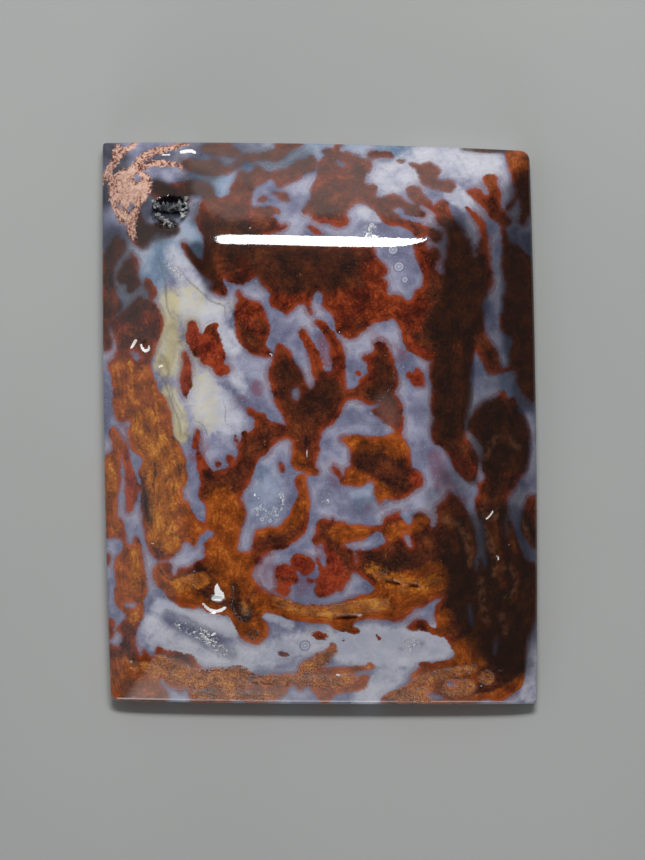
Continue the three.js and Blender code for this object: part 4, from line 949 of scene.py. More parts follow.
# Thin dark lines of the agate, each a path of x, y and half width.
AGATE_LINES: list[Path] = [
    [(-10.9,11.2,0.06), (-10.4,9.5,0.06), (-10.4,8,0.06), (-10.1,7.3,0.05)],
    [(-9.6,10.6,0.05), (-8.8,9.5,0.06), (-8,8.9,0.06), (-7.4,8.2,0.06), (-6.4,8,0.06), (-6.4,7.3,0.05)],
    [(-10.9,3.4,0.05), (-10.3,2.4,0.06), (-10,1.2,0.06), (-9.5,0.2,0.06), (-9.4,-0.8,0.05)],
    [(-10.6,3.4,0.04), (-10.1,2.8,0.04), (-9.9,1.6,0.05), (-9.3,0.6,0.04)],
    [(-8.5,0.15,0.04), (-8.1,0.1,0.05), (-7.7,-0.4,0.05), (-7.6,-0.9,0.04)],
    [(-6.6,1.6,0.03), (-6.3,0.9,0.04), (-6.5,0.1,0.04), (-5.9,-0.3,0.03)],
]


@dataclass(frozen=True)
class Corner:
    """A corner of the outline: which way it lies, how far it is pulled in and its rounding, in mm."""

    side: tuple[int, int]
    inset: tuple[float, float]
    round: float


@dataclass(frozen=True)
class Side:
    """The side that starts at a corner: how far it bulges, and how wide its flank is, in millimetres."""

    bow: float
    flank: float


@dataclass(frozen=True)
class Pit:
    """An open pit of the face: its place, half widths and depth in millimetres, and its turn in degrees."""

    at: tuple[float, float]
    size: tuple[float, float]
    depth: float
    turn: float
    steepness: float = 2.0


@dataclass(frozen=True)
class StoneForm:
    """The stone's shape by the formulas of the part. Lengths are in millimetres."""

    width: float = 29.4
    length: float = 38.0
    height: float = 6.8
    girdle: float = 1.6
    chamfer: float = 0.3
    shoulder: float = 6.2
    drop_across: float = 0.9
    drop_along: float = 0.8
    mitre_softness: float = 0.8
    shoulder_softness: float = 1.3
    corners: tuple[Corner, ...] = (
        Corner((-1, -1), (0.55, 0.2), 0.55),
        Corner((1, -1), (0.0, 0.0), 0.2),
        Corner((1, 1), (0.5, 0.55), 0.7),
        Corner((-1, 1), (0.0, 0.0), 0.2),
    )
    sides: tuple[Side, ...] = (Side(0.1, 7.0), Side(0.2, 6.2), Side(0.2, 5.6), Side(0.2, 5.0))
    pits: tuple[Pit, ...] = (
        Pit((-6.95, -12.1), (0.85, 0.72), 0.4, 10),
        Pit((-12.35, 5.3), (0.24, 0.4), 0.22, -30),
        Pit((-11.65, 5.15), (0.38, 0.42), 0.26, 0),
        Pit((-10.4, 3.9), (0.36, 0.78), 0.35, 18),
        Pit((-12.55, -16.4), (0.45, 0.5), 0.25, 0),
        Pit((1.8, -13.0), (1.05, 0.22), 0.4, 5),
        Pit((4.9, -10.7), (0.62, 0.26), 0.45, -12),
        Pit((6.3, -10.9), (0.45, 0.2), 0.4, -8),
        Pit((-10.0, 14.1), (1.3, 1.1), 1.2, 12, 6.0),
    )

    @property
    def points(self) -> list[np.ndarray]:
        """The four corner points before rounding, anticlockwise from the bottom left."""
        half = np.array([self.width / 2, self.length / 2])
        return [np.array(c.side) * (half - np.array(c.inset)) for c in self.corners]

    def outward(self, i: int) -> np.ndarray:
        """The direction square to side i, out of the stone."""
        a, b = self.points[i], self.points[(i + 1) % 4]
        along = (b - a) / np.hypot(*(b - a))
        return np.array([along[1], -along[0]])

    def plan(self, u: np.ndarray, v: np.ndarray) -> tuple[np.ndarray, np.ndarray]:
        """Carries the unit square onto the outline seen from above.

        The four corner points are blended by u and v. Each side's bulge, four times its bow times t times 1
        less t, is added in the share that the point lies near it. Near a corner the point then moves along
        both sides by the corner's rounding times the square of half of 1 less q, where q is the greater of
        its distances from the corner along the sides in roundings, up to 1.

        Args:
            u: Share across the stone, 0 at the left side and 1 at the right.
            v: Share along the stone, 0 at the bottom and 1 at the top.

        Returns:
            The x and y in millimetres.
        """
        bl, br, tr, tl = self.points
        p = [(1 - v) * ((1 - u) * bl[k] + u * br[k]) + v * ((1 - u) * tl[k] + u * tr[k]) for k in (0, 1)]
        for i, near in enumerate((1 - v, u, v, 1 - u)):
            t = u if i % 2 == 0 else v
            bulge = near * 4 * self.sides[i].bow * t * (1 - t)
            p = [p[k] + bulge * self.outward(i)[k] for k in (0, 1)]
        for corner, at_u, at_v in zip(self.corners, (0, 1, 1, 0), (0, 0, 1, 1)):
            away = np.maximum(np.abs(u - at_u) * self.width, np.abs(v - at_v) * self.length)
            pull = corner.round * ((1 - np.minimum(away / corner.round, 1)) / 2) ** 2
            p = [p[k] - corner.side[k] * pull for k in (0, 1)]
        return p[0], p[1]

    def inside_side(self, i: int, x: np.ndarray, y: np.ndarray) -> np.ndarray:
        """How far points lie inside a side, square to it. Its bulge is four bows times t times 1 less t.

        Args:
            i: The side's number.
            x: The points' x in millimetres.
            y: The points' y in millimetres.

        Returns:
            The distances in millimetres.
        """
        a, b = self.points[i], self.points[(i + 1) % 4]
        run = b - a
        length = np.hypot(*run)
        t = ((x - a[0]) * run[0] + (y - a[1]) * run[1]) / length**2
        across = ((y - a[1]) * run[0] - (x - a[0]) * run[1]) / length
        return across + 4 * self.sides[i].bow * t * (1 - t)

    def raw_face(self, x: np.ndarray, y: np.ndarray) -> np.ndarray:
        """The lesser of the four flanks and the crown, softly rounded where they cross.

        A flank rises evenly from the girdle to the shoulder over its width. The crown falls from its middle
        by the squares of x and y. The soft lesser of a and b is half of a plus b less the root of (a less b)
        squared plus the softness squared.

        Args:
            x: The points' x in millimetres.
            y: The points' y in millimetres.

        Returns:
            The heights in millimetres.
        """

        def lesser(a: np.ndarray, b: np.ndarray, softness: float) -> np.ndarray:
            """The soft lesser of two heights."""
            return (a + b - np.hypot(a - b, softness)) / 2

        rise = self.shoulder - self.girdle
        bottom, right, top, left = (
            self.girdle + rise / side.flank * self.inside_side(i, x, y) for i, side in enumerate(self.sides)
        )
        ends = lesser(bottom, top, self.mitre_softness)
        flanks = lesser(ends, lesser(left, right, self.mitre_softness), self.mitre_softness)
        across = self.drop_across * (x / (self.width / 2)) ** 2
        along = self.drop_along * (y / (self.length / 2)) ** 2
        return lesser(flanks, self.height - across - along, self.shoulder_softness)

    def polished(self, x: np.ndarray, y: np.ndarray) -> np.ndarray:
        """Height of the polished face, which is the full height at the middle."""
        return self.height + self.raw_face(x, y) - self.raw_face(np.zeros(1), np.zeros(1))[0]

    def sunk(self, x: np.ndarray, y: np.ndarray) -> np.ndarray:
        """How deep the pits go: each its depth times 1 less q to its steepness, q being 1 at its edge.

        Args:
            x: The points' x in millimetres.
            y: The points' y in millimetres.

        Returns:
            The depths below the polished face in millimetres.
        """
        depth = np.zeros_like(x)
        for pit in self.pits:
            turn = math.radians(pit.turn)
            dx, dy = x - pit.at[0], y - pit.at[1]
            across = (dx * math.cos(turn) + dy * math.sin(turn)) / pit.size[0]
            along = (dy * math.cos(turn) - dx * math.sin(turn)) / pit.size[1]
            q = np.minimum(np.hypot(across, along), 1.0)
            depth = np.maximum(depth, pit.depth * (1 - q**pit.steepness))
        return depth


@dataclass(frozen=True)
class Sheet:
    """A surface under construction: its points in millimetres and its faces."""

    points: np.ndarray
    faces: list[np.ndarray]


def place_mesh(name: str, mesh: bpy.types.Mesh) -> bpy.types.Object:
    """Places a mesh in the scene as an object at the origin."""
    placed = bpy.data.objects.new(name, mesh)
    bpy.context.scene.collection.objects.link(placed)
    return placed


@dataclass
class Stone:
    """The polished stone as one closed surface that carries its pattern. Lengths are in millimetres."""

    form: StoneForm
    canvas: Canvas
    steps_across: int = 232
    steps_along: int = 296
    back_share: int = 4
    edge_round: float = 0.12
    edge_drop_share: float = 0.8
    wall_levels: int = 9
    back_inset_share: float = 0.02
    sharp_angle: float = 50.0
    lean_starts: float = 0.15
    slow_lean: float = 0.35
    quick_lean: float = 0.2
    inward_lean: float = 0.05
    name: str = "plume_agate_cabochon"

    def rim(self, across: int, along: int) -> np.ndarray:
        """Numbers of the border points of a grid, anticlockwise from the bottom left, rows along x."""
        grid = np.arange((across + 1) * (along + 1)).reshape(along + 1, across + 1)
        return np.concatenate([grid[0, :-1], grid[:-1, -1], grid[-1, :0:-1], grid[:0:-1, 0]])

    def grid_faces(self, across: int, along: int) -> np.ndarray:
        """The squares of a grid, anticlockwise seen from above."""
        grid = np.arange((across + 1) * (along + 1)).reshape(along + 1, across + 1)
        corners = (grid[:-1, :-1], grid[:-1, 1:], grid[1:, 1:], grid[1:, :-1])
        return np.stack([c.ravel() for c in corners], 1)

    def surface(self) -> Sheet:
        """Builds the closed surface from a face grid, rings down the girdle and a coarser grid for the back.

        The face grid is drawn in by the edge rounding. The rings below it lie on the outline, from just under
        the face down to the chamfer, and the last lies on the back. Each border step of the back's grid takes
        several steps of the last ring, joined by triangles.

        Returns:
            The points and faces.
        """
        form = self.form
        nu, nv, k = self.steps_across, self.steps_along, self.back_share
        u, v = np.meshgrid(np.linspace(0, 1, nu + 1), np.linspace(0, 1, nv + 1))
        full_x, full_y = (c.ravel() for c in form.plan(u, v))
        inward = 1 - self.edge_round / (form.width / 2)
        x, y = full_x * inward, full_y * inward
        top = np.stack([x, y, form.polished(x, y) - form.sunk(x, y)], 1)
        rim = self.rim(nu, nv)
        rim_x, rim_y = full_x[rim], full_y[rim]
        high = form.polished(rim_x, rim_y) - self.edge_round * self.edge_drop_share
        levels = np.linspace(0, 1, self.wall_levels)
        rings = [np.stack([rim_x, rim_y, high + (form.chamfer - high) * s], 1) for s in levels]
        drawn = 1 - form.chamfer / (form.width / 2)
        rings.append(np.stack([rim_x * drawn, rim_y * drawn, np.zeros_like(rim_x)], 1))
        bu, bv = np.meshgrid(np.linspace(0, 1, nu // k + 1), np.linspace(0, 1, nv // k + 1))
        back_x, back_y = (c.ravel() * (drawn - self.back_inset_share) for c in form.plan(bu, bv))
        back = np.stack([back_x, back_y, np.zeros_like(back_x)], 1)
        count = len(rim)
        starts = len(top) + count * np.arange(len(rings))
        loops = [rim] + [s + np.arange(count) for s in starts]
        faces = [self.grid_faces(nu, nv)]
        for upper, lower in zip(loops[:-1], loops[1:]):
            faces.append(np.stack([upper, lower, np.roll(lower, -1), np.roll(upper, -1)], 1))
        back_start = len(top) + count * len(rings)
        faces.append(self.grid_faces(nu // k, nv // k)[:, ::-1] + back_start)
        inner = self.rim(nu // k, nv // k) + back_start
        outer = loops[-1].reshape(-1, k)
        after = np.roll(inner, -1)
        steps = np.concatenate([outer, np.roll(outer[:, 0], -1)[:, None]], 1)
        for s in range(k):
            pivot = inner if s < k // 2 else after
            faces.append(np.stack([pivot, steps[:, s + 1], steps[:, s]], 1))
        faces.append(np.stack([inner, after, steps[:, k // 2]], 1))
        return Sheet(np.concatenate([top, *rings, back]), faces)

    def as_drawn(self, p: np.ndarray) -> tuple[np.ndarray, np.ndarray]:
        """Where on the drawing a point of the stone takes its pattern from.

        The drawing lies in the plane of the girdle as the face is seen by the eye, so a point above that
        plane is moved out from the eye's centre by the eye's height over that height less the point's. Below
        the face the plumes lean: the drawing shifts by slow and quick waves of x and y that grow with depth.

        Args:
            p: The points in millimetres.

        Returns:
            The x and y on the drawing.
        """
        x, y, z = p.T
        spread = EYE_HEIGHT / (EYE_HEIGHT - (z - self.form.girdle))
        depth = np.maximum(self.form.polished(x, y) - self.form.sunk(x, y) - z - self.lean_starts, 0)
        slow, quick, inward = self.slow_lean, self.quick_lean, self.inward_lean
        lean_x = slow * np.sin(0.9 * y + 0.8 * depth) + quick * np.sin(2.3 * x + 1.1 * depth) - inward * x
        lean_y = slow * np.sin(0.8 * x + 1.3) + quick * np.sin(2.1 * y + 0.9 * depth) - inward * y
        cx, cy = EYE_CENTRE
        return cx + (x - cx) * spread + depth * lean_x, cy + (y - cy) * spread + depth * lean_y

    def build(self) -> bpy.types.Object:
        """Makes the mesh and lays the pattern on its vertices.

        Returns:
            The stone.
        """
        sheet = self.surface()
        mesh = bpy.data.meshes.new(self.name)
        mesh.from_pydata(sheet.points * MM, [], [f for part in sheet.faces for f in part.tolist()])
        mesh.update()
        mesh.shade_smooth()
        mesh.set_sharp_from_angle(angle=math.radians(self.sharp_angle))
        canvas = self.canvas
        fields = {
            "plume": canvas.true_distance(canvas.drawing(UPPER_PLUMES + MIDDLE_PLUMES + LOWER_PLUMES)),
            "line": canvas.drawing([(Draw.STRAND, path) for path in AGATE_LINES]),
            "pale": canvas.drawing(PALE_PLUMES),
            "orb": canvas.tone([(1.0, orb[0][2], [(*orb[0][:2], 0.0)]) for orb in ORBS]),
        }
        fields.update((tone.value, canvas.tone(strokes)) for tone, strokes in TONES.items())
        x, y = self.as_drawn(sheet.points)
        for name, field in fields.items():
            attribute = mesh.attributes.new(name, "FLOAT", "POINT")
            attribute.data.foreach_set("value", canvas.sample(field, x, y).astype(np.float32))
        return place_mesh(self.name, mesh)


@dataclass(frozen=True)
class Ridge:
    """A row of quartz points: the path of their feet, with depths, and their number, size and lean."""

    path: Path
    count: int
    radius: float
    length: float
    lean: tuple[float, float]


@dataclass
class QuartzCrust:
    """The quartz points that line the hollow near the top left corner. Lengths are in millimetres."""

    form: StoneForm
    ridges: tuple[Ridge, ...] = (
        Ridge([(-11.15, 14.95, 0.3), (-11.05, 14.5, 0.35)], 4, 0.09, 0.5, (0.2, -0.1)),
        Ridge([(-10.9, 14.55, 0.5), (-10.2, 14.5, 0.55), (-9.5, 14.5, 0.5)], 12, 0.1, 0.5, (0.0, 0.5)),
        Ridge([(-9.5, 14.5, 0.45), (-9.0, 14.75, 0.35), (-8.75, 15.0, 0.25)], 9, 0.11, 0.5, (-0.2, 0.3)),
        Ridge([(-8.85, 14.75, 0.4), (-8.95, 14.2, 0.45), (-9.1, 13.8, 0.5)], 9, 0.1, 0.45, (-0.4, 0.0)),
        Ridge([(-11.0, 14.0, 0.6), (-10.5, 13.7, 0.8), (-10.2, 13.4, 0.8)], 10, 0.09, 0.35, (0.4, 0.2)),
        Ridge([(-10.0, 13.15, 0.35), (-9.5, 13.3, 0.5)], 6, 0.08, 0.3, (0.0, 0.5)),
    )
    facets: int = 6
    scatter: float = 0.05
    tilt: float = 0.45
    sizes: tuple[float, float] = (0.6, 1.25)
    rooted: float = 0.3
    column_share: float = 0.5
    first_edge: tuple[float, float, float] = (0.3, 1.0, 0.1)
    seed: int = 7
    name: str = "quartz_points"

    def row(self, ridge: Ridge, rng: np.random.Generator) -> np.ndarray:
        """Places the points of one ridge.

        A point is a column with a pointed end. Its foot lies on the ridge's path, and its axis is straight
        up plus the ridge's lean plus a random part, made one long. A ring's corner is the foot plus the
        radius times the cosine of its turn along one edge and the sine along the other.

        Args:
            ridge: The ridge.
            rng: The source of the random parts.

        Returns:
            For each quartz point its places: the ring at the root, the ring at the column's end and the tip.
        """
        count = ridge.count
        path = smooth(ridge.path, False)
        share = np.linspace(0, len(path) - END_GAP, count)
        low = share.astype(int)
        feet = path[low] + (share - low)[:, None] * (path[low + 1] - path[low])
        feet[:, :2] += rng.normal(0, self.scatter, (count, 2))
        axes = np.tile([*ridge.lean, 1.0], (count, 1))
        axes[:, :2] += rng.normal(0, self.tilt, (count, 2))
        axes /= np.linalg.norm(axes, axis=1, keepdims=True)
        size = rng.uniform(*self.sizes, count)[:, None]
        edge = np.cross(axes, self.first_edge)
        edge /= np.linalg.norm(edge, axis=1, keepdims=True)
        other = np.cross(axes, edge)
        foot = feet.copy()
        foot[:, 2] = self.form.polished(feet[:, 0], feet[:, 1]) - feet[:, 2]
        turns = np.arange(self.facets) / self.facets * 2 * math.pi
        across = np.cos(turns)[:, None] * edge[:, None] + np.sin(turns)[:, None] * other[:, None]
        ring = foot[:, None] + (ridge.radius * size)[:, None] * across
        spire = (ridge.length * size * axes)[:, None]
        root, column = ring - self.rooted * axes[:, None], ring + self.column_share * spire
        return np.concatenate([root, column, foot[:, None] + spire], 1)

    def build(self) -> bpy.types.Object:
        """Stands the points along their ridges as one mesh.

        Returns:
            The crust.
        """
        rng = np.random.default_rng(self.seed)
        points = np.concatenate([self.row(ridge, rng) for ridge in self.ridges])
        n = self.facets
        i = np.arange(n)
        j = (i + 1) % n
        starts = np.arange(len(points))[:, None, None] * (2 * n + 1)
        sides = starts + np.stack([i, j, n + j, n + i], 1)
        ends = starts + np.stack([n + i, n + j, np.full(n, 2 * n)], 1)
        feet = starts + i[::-1]
        faces = [f for part in (sides, ends, feet) for f in part.reshape(-1, part.shape[-1]).tolist()]
        mesh = bpy.data.meshes.new(self.name)
        mesh.from_pydata(points.reshape(-1, 3) * MM, [], faces)
        mesh.update()
        return place_mesh(self.name, mesh)


Shade = tuple[float, float, float, float]
Stops = tuple[tuple[float, Shade], ...]
Socket = bpy.types.NodeSocket


def srgb(red: int, green: int, blue: int) -> Shade:
    """A display colour as linear light: c / 12.92 if small, else ((c + 0.055) / 1.055) to the power 2.4."""
    shares = (c / 255 for c in (red, green, blue))
    return (*(c / 12.92 if c <= 0.04045 else ((c + 0.055) / 1.055) ** 2.4 for c in shares), 1.0)


def stops(*marks: tuple[float, int, int, int]) -> Stops:
    """Colours along a ramp, from marks that each hold a place from 0 to 1 and a display colour."""
    return tuple((place, srgb(*colour)) for place, *colour in marks)


@dataclass(frozen=True)
class Noise:
    """A cloudy noise: clouds per unit of length, layers of finer clouds and how strong those are."""

    scale: float | Socket
    detail: float = 2.0
    roughness: float = 0.5


class Graph:
    """Short calls that add nodes to one node tree and join them."""

    def __init__(self, tree: bpy.types.NodeTree) -> None:
        """Keeps the tree."""
        self.tree = tree

    def node(self, kind: str, settings: dict | None = None, **inputs: object) -> bpy.types.Node:
        """Adds a node.

        Args:
            kind: The node's type.
            settings: Its properties.
            inputs: Values or sockets for its inputs, named as the sockets are, with _ for a space.

        Returns:
            The node.
        """
        node = self.tree.nodes.new(kind)
        for key, value in (settings or {}).items():
            setattr(node, key, value)
        for key, value in inputs.items():
            self.feed(node.inputs[key.replace("_", " ")], value)
        return node

    def feed(self, socket: Socket, value: object) -> None:
        """Joins a socket to an input, or sets the input's own value."""
        if isinstance(value, Socket):
            self.tree.links.new(value, socket)
        else:
            socket.default_value = value

    def worked_out(self, kind: str, operation: str, *terms: object) -> Socket:
        """Adds a node that works out one operation.

        Args:
            kind: The node's type.
            operation: The operation.
            terms: Values or sockets for its inputs, in order.

        Returns:
            The result.
        """
        node = self.node(kind, {"operation": operation})
        for socket, value in zip(node.inputs, terms):
            self.feed(socket, value)
        return node.outputs[0]

    def math(self, operation: str, *terms: float | Socket) -> Socket:
        """Works out one operation on numbers."""
        return self.worked_out("ShaderNodeMath", operation, *terms)

    def vector(self, operation: str, *terms: object) -> Socket:
        """Works out one operation on vectors."""
        return self.worked_out("ShaderNodeVectorMath", operation, *terms)

    def times(self, a: float | Socket, b: float | Socket) -> Socket:
        """One number times another."""
        return self.math("MULTIPLY", a, b)

    def less(self, a: float | Socket, b: float | Socket) -> Socket:
        """One number less another."""
        return self.math("SUBTRACT", a, b)

    def scaled(self, value: float | Socket, by: float | Socket, plus: float | Socket) -> Socket:
        """A number times another, plus a third."""
        return self.math("MULTIPLY_ADD", value, by, plus)

    def swing(self, noise: Socket, size: float, plus: float | Socket = 0.0) -> Socket:
        """A noise taken from its middle, times a size, plus a number."""
        return self.scaled(self.less(noise, 0.5), size, plus)

    def rise(
        self, value: float | Socket, low: float | Socket, high: float | Socket, top: float | Socket = 1.0
    ) -> Socket:
        """Smooth step from 0 at low to top at high."""
        bounds = {"Value": value, "From_Min": low, "From_Max": high, "To_Max": top}
        return self.node("ShaderNodeMapRange", {"interpolation_type": "SMOOTHSTEP"}, **bounds).outputs[0]

    def mix(self, share: float | Socket, a: object, b: object, blend: str = "MIX") -> Socket:
        """Mixes two colours.

        Args:
            share: How much of the second is taken.
            a: The first colour.
            b: The second colour.
            blend: How the second is laid on the first.

        Returns:
            The mixed colour.
        """
        node = self.node("ShaderNodeMix", {"data_type": "RGBA", "blend_type": blend})
        for place, value in ((0, share), (6, a), (7, b)):
            self.feed(node.inputs[place], value)
        return node.outputs[2]

    def noise(self, vector: Socket, noise: Noise, output: str = "Fac") -> Socket:
        """Adds a noise at some places."""
        settings = {"Scale": noise.scale, "Detail": noise.detail, "Roughness": noise.roughness}
        return self.node("ShaderNodeTexNoise", None, Vector=vector, **settings).outputs[output]

    def value(self, name: str) -> Socket:
        """A value that the vertices carry."""
        return self.node("ShaderNodeAttribute", {"attribute_name": name}).outputs["Fac"]

    def ramp(self, share: Socket, colours: Stops) -> Socket:
        """Picks a colour along a ramp.

        Args:
            share: The place from 0 to 1.
            colours: The ramp's colours and their places.

        Returns:
            The colour.
        """
        node = self.node("ShaderNodeValToRGB", None, Fac=share)
        elements = node.color_ramp.elements
        while len(elements) < len(colours):
            elements.new(0.5)
        for element, (place, colour) in zip(elements, colours):
            element.position, element.color = place, colour
        return node.outputs[0]


@dataclass(frozen=True)
class Grains:
    """The noises of the agate by size, a mix of them, and the plume distance that two of them shake."""

    broad: Socket
    clump: Socket
    bush: Socket
    bits: Socket
    grain: Socket
    mixed: Socket
    distance: Socket


@dataclass(frozen=True)
class AgateLook:
    """The polished agate: iron plumes in chalcedony. Noises are per millimetre of the stone."""

    name: str = "plume_agate"
    ior: float = 1.54
    polish: float = 0.02
    relief: float = 0.00006

    broad: Noise = Noise(0.45)
    clump: Noise = Noise(0.9, 3, 0.6)
    bush: Noise = Noise(2.0, 4, 0.62)
    bits: Noise = Noise(5.0, 3, 0.65)
    grain: Noise = Noise(9.0, 2, 0.6)
    streak: Noise = Noise(2.0, 4, 0.6)
    swirl: Noise = Noise(0.8)
    patches: Noise = Noise(0.3, 1)
    swirl_reach: float = 0.6
    ragged: float = 0.45
    frayed: float = 0.24

    body: Stops = stops(
        (0.36, 36, 18, 14), (0.44, 58, 28, 18), (0.5, 78, 37, 22), (0.57, 98, 46, 24), (0.66, 124, 64, 32),
    )
    rust: Stops = stops((0.38, 56, 20, 13), (0.46, 84, 30, 15), (0.53, 110, 40, 18), (0.62, 148, 64, 30))
    orange: Stops = stops(
        (0.34, 74, 36, 16), (0.43, 112, 54, 18), (0.5, 134, 64, 20), (0.57, 161, 80, 26),
        (0.66, 194, 115, 44),
    )
    ochre: Stops = stops(
        (0.34, 86, 46, 16), (0.42, 132, 70, 18), (0.5, 160, 87, 22), (0.57, 185, 108, 30),
        (0.66, 208, 145, 58),
    )
    red: Stops = stops((0.38, 80, 26, 17), (0.5, 126, 44, 25), (0.6, 160, 66, 36))
    pink: Stops = stops(
        (0.46, 80, 44, 36), (0.505, 146, 98, 82), (0.55, 192, 144, 124), (0.66, 224, 186, 166),
    )
    lip: Shade = srgb(150, 60, 28)
    orange_lip: Shade = srgb(176, 80, 34)
    dull: Shade = srgb(98, 84, 78)
    gloom: Shade = srgb(44, 31, 24)
    ridge: Shade = srgb(104, 66, 46)
    # The colour of the painted sparkle in the plumes.
    painted_sparkle: Shade = srgb(206, 140, 96)
    # The colour of the veil: milky haze over deeper plumes, and painted reflection haze on the top flank.
    veil_and_painted_haze: Shade = srgb(146, 122, 116)

    clear: Stops = stops((0.38, 98, 99, 124), (0.5, 128, 129, 153), (0.62, 160, 161, 182))
    blue: Stops = stops((0.4, 104, 126, 152), (0.6, 148, 164, 186))
    milk: Stops = stops((0.4, 176, 177, 192), (0.6, 207, 207, 214))
    cream: Stops = stops((0.4, 174, 160, 120), (0.6, 202, 190, 148))
    orb: Stops = stops(
        (0.04, 112, 114, 138), (0.16, 112, 114, 138), (0.34, 196, 198, 210), (0.56, 150, 152, 172),
        (0.7, 150, 152, 172), (0.95, 196, 198, 210),
    )
    slate: Shade = srgb(88, 90, 112)
    pale_band: Shade = srgb(190, 188, 200)
    deep_band: Shade = srgb(84, 78, 100)
    mauve: Shade = srgb(118, 72, 88)
    glow: Shade = srgb(186, 184, 196)
    halo: Shade = srgb(120, 68, 62)
    fleck: Shade = srgb(204, 206, 220)
    line: Shade = srgb(104, 102, 96)

    druse_shade: Shade = srgb(150, 152, 164)
    druse_light: Shade = srgb(240, 238, 230)
    # The colour of the dark veins and of the painted shade in pits and grooves.
    crevice_and_pit_shade: Shade = srgb(34, 20, 16)
    # The colour of the painted highlights.
    painted_glint: Shade = srgb(250, 248, 246)

    def build(self) -> bpy.types.Material:
        """Makes the material: plumes and chalcedony, what lies over both, and the polish.

        Returns:
            The material.
        """
        material = bpy.data.materials.new(self.name)
        material.use_nodes = True
        tree = material.node_tree
        tree.nodes.clear()
        g = Graph(tree)
        at = g.node("ShaderNodeVectorMath", {"operation": "SCALE"}, Scale=1 / MM)
        g.feed(at.inputs["Vector"], g.node("ShaderNodeTexCoord").outputs["Object"])
        n = self.grains(g, at.outputs[0])

        soft = g.rise(g.noise(at.outputs[0], self.patches), 0.4, 0.6, 0.1)
        soft = g.scaled(g.value("veil_and_painted_haze"), 0.12, g.math("ADD", soft, 0.05))
        soft = g.scaled(g.value("dark_and_painted_shade"), 0.13, soft)
        inside = g.rise(n.distance, g.times(soft, -1.0), g.times(soft, 0.7))
        colour = g.mix(inside, self.chalcedony(g, n), self.plumes(g, n))

        # Veil: a milky haze over deeper plumes, and over the plumes of the top flank a painted reflection
        # haze.
        veil_and_painted_haze = g.times(g.value("veil_and_painted_haze"), inside)
        colour = g.mix(g.times(veil_and_painted_haze, 0.42), colour, self.veil_and_painted_haze)
        pale = g.swing(n.bits, 0.7, g.value("pale"))
        cloth = g.scaled(n.bush, 0.4, g.scaled(n.grain, 0.2, g.times(n.bits, 0.4)))
        cloth = g.scaled(g.rise(pale, 0.0, 0.35), 0.1, cloth)
        colour = g.mix(g.rise(pale, -0.03, 0.06), colour, g.ramp(cloth, self.pink))
        druse = g.times(g.value("druse"), g.rise(g.math("ADD", n.bush, n.bits), 0.98, 1.06))
        # Druse: pale crystals with painted glitter, light and grey specks that stand for lit and shaded
        # facets.
        crystals_and_painted_glitter = g.mix(g.rise(n.grain, 0.48, 0.56), self.druse_shade, self.druse_light)
        colour = g.mix(druse, colour, crystals_and_painted_glitter)
        # Dark crevices: dark veins, and painted shade inside the pits and grooves; they are also sunk a
        # little by the bump.
        crevice_and_pit_shade = g.rise(g.scaled(n.bits, 2.2, g.value("crevice_and_pit_shade")), 1.75, 2.2, 0.85)
        colour = g.mix(crevice_and_pit_shade, colour, self.crevice_and_pit_shade)
        # Painted highlights: near-white spots where the glint strokes lie, standing for reflections in pits
        # and facets.
        painted_glint = g.rise(g.scaled(n.bits, 0.3, g.value("painted_glint")), 0.65, 0.85)
        colour = g.mix(painted_glint, colour, self.painted_glint)

        rough = g.scaled(druse, 0.3, g.scaled(inside, 0.015, self.polish))
        pitted = g.times(g.times(g.value("ochre"), inside), g.rise(n.bits, 0.55, 0.4))
        height = g.scaled(druse, 0.8, g.times(n.grain, 0.015))
        height = g.less(g.scaled(pitted, -0.5, height), crevice_and_pit_shade)
        bump = g.node("ShaderNodeBump", None, Strength=0.6, Distance=self.relief, Height=height).outputs[0]
        shader = g.node(
            "ShaderNodeBsdfPrincipled", None, IOR=self.ior, Base_Color=colour, Roughness=rough, Normal=bump)
        g.node("ShaderNodeOutputMaterial", None, Surface=shader.outputs[0])
        return material

    def grains(self, g: Graph, at: Socket) -> Grains:
        """Adds the noises.

        Two of them shake the plume distance, so an edge is ragged like the growth of a plume. The streaks are
        drawn out along the plume edges, because the distance moves the place where their noise is read.

        Args:
            g: The material's graph.
            at: The place in millimetres.

        Returns:
            The noises, their mix and the shaken distance.
        """
        swirl = g.vector("SUBTRACT", g.noise(at, self.swirl, "Color"), (0.5, 0.5, 0.5))
        warped = g.vector("MULTIPLY_ADD", swirl, (self.swirl_reach,) * 3, at)
        broad, grain = g.noise(at, self.broad), g.noise(at, self.grain)
        bush, bits, clump = (g.noise(warped, noise) for noise in (self.bush, self.bits, self.clump))
        distance = g.math("ADD", g.value("plume"), g.swing(bits, self.frayed, g.swing(bush, self.ragged)))
        along = g.scaled(g.value("plume"), 3.2, g.times(bush, 0.8))
        flow = g.node("ShaderNodeCombineXYZ", None, Z=along).outputs[0]
        streak = g.noise(g.vector("MULTIPLY_ADD", warped, (0.45, 0.45, 0.45), flow), self.streak)
        mixed = g.scaled(streak, 0.3, g.scaled(clump, 0.6, g.times(bits, 0.3)))
        mixed = g.scaled(grain, 0.16, g.less(mixed, 0.18))
        return Grains(broad, clump, bush, bits, grain, mixed, distance)

    def mask(self, g: Graph, tone: Tone, noise: Socket, spread: float = 1.4) -> Socket:
        """A painted tone with a ragged border: it is shaken by noise and then stepped.

        Args:
            g: The material's graph.
            tone: The tone.
            noise: The noise.
            spread: How far the noise shakes it.

        Returns:
            The tone's share.
        """
        shaken = g.swing(noise, spread, g.value(tone.value))
        return g.times(g.rise(shaken, 0.15, 0.95), g.rise(g.value(tone.value), 0.02, 0.2))

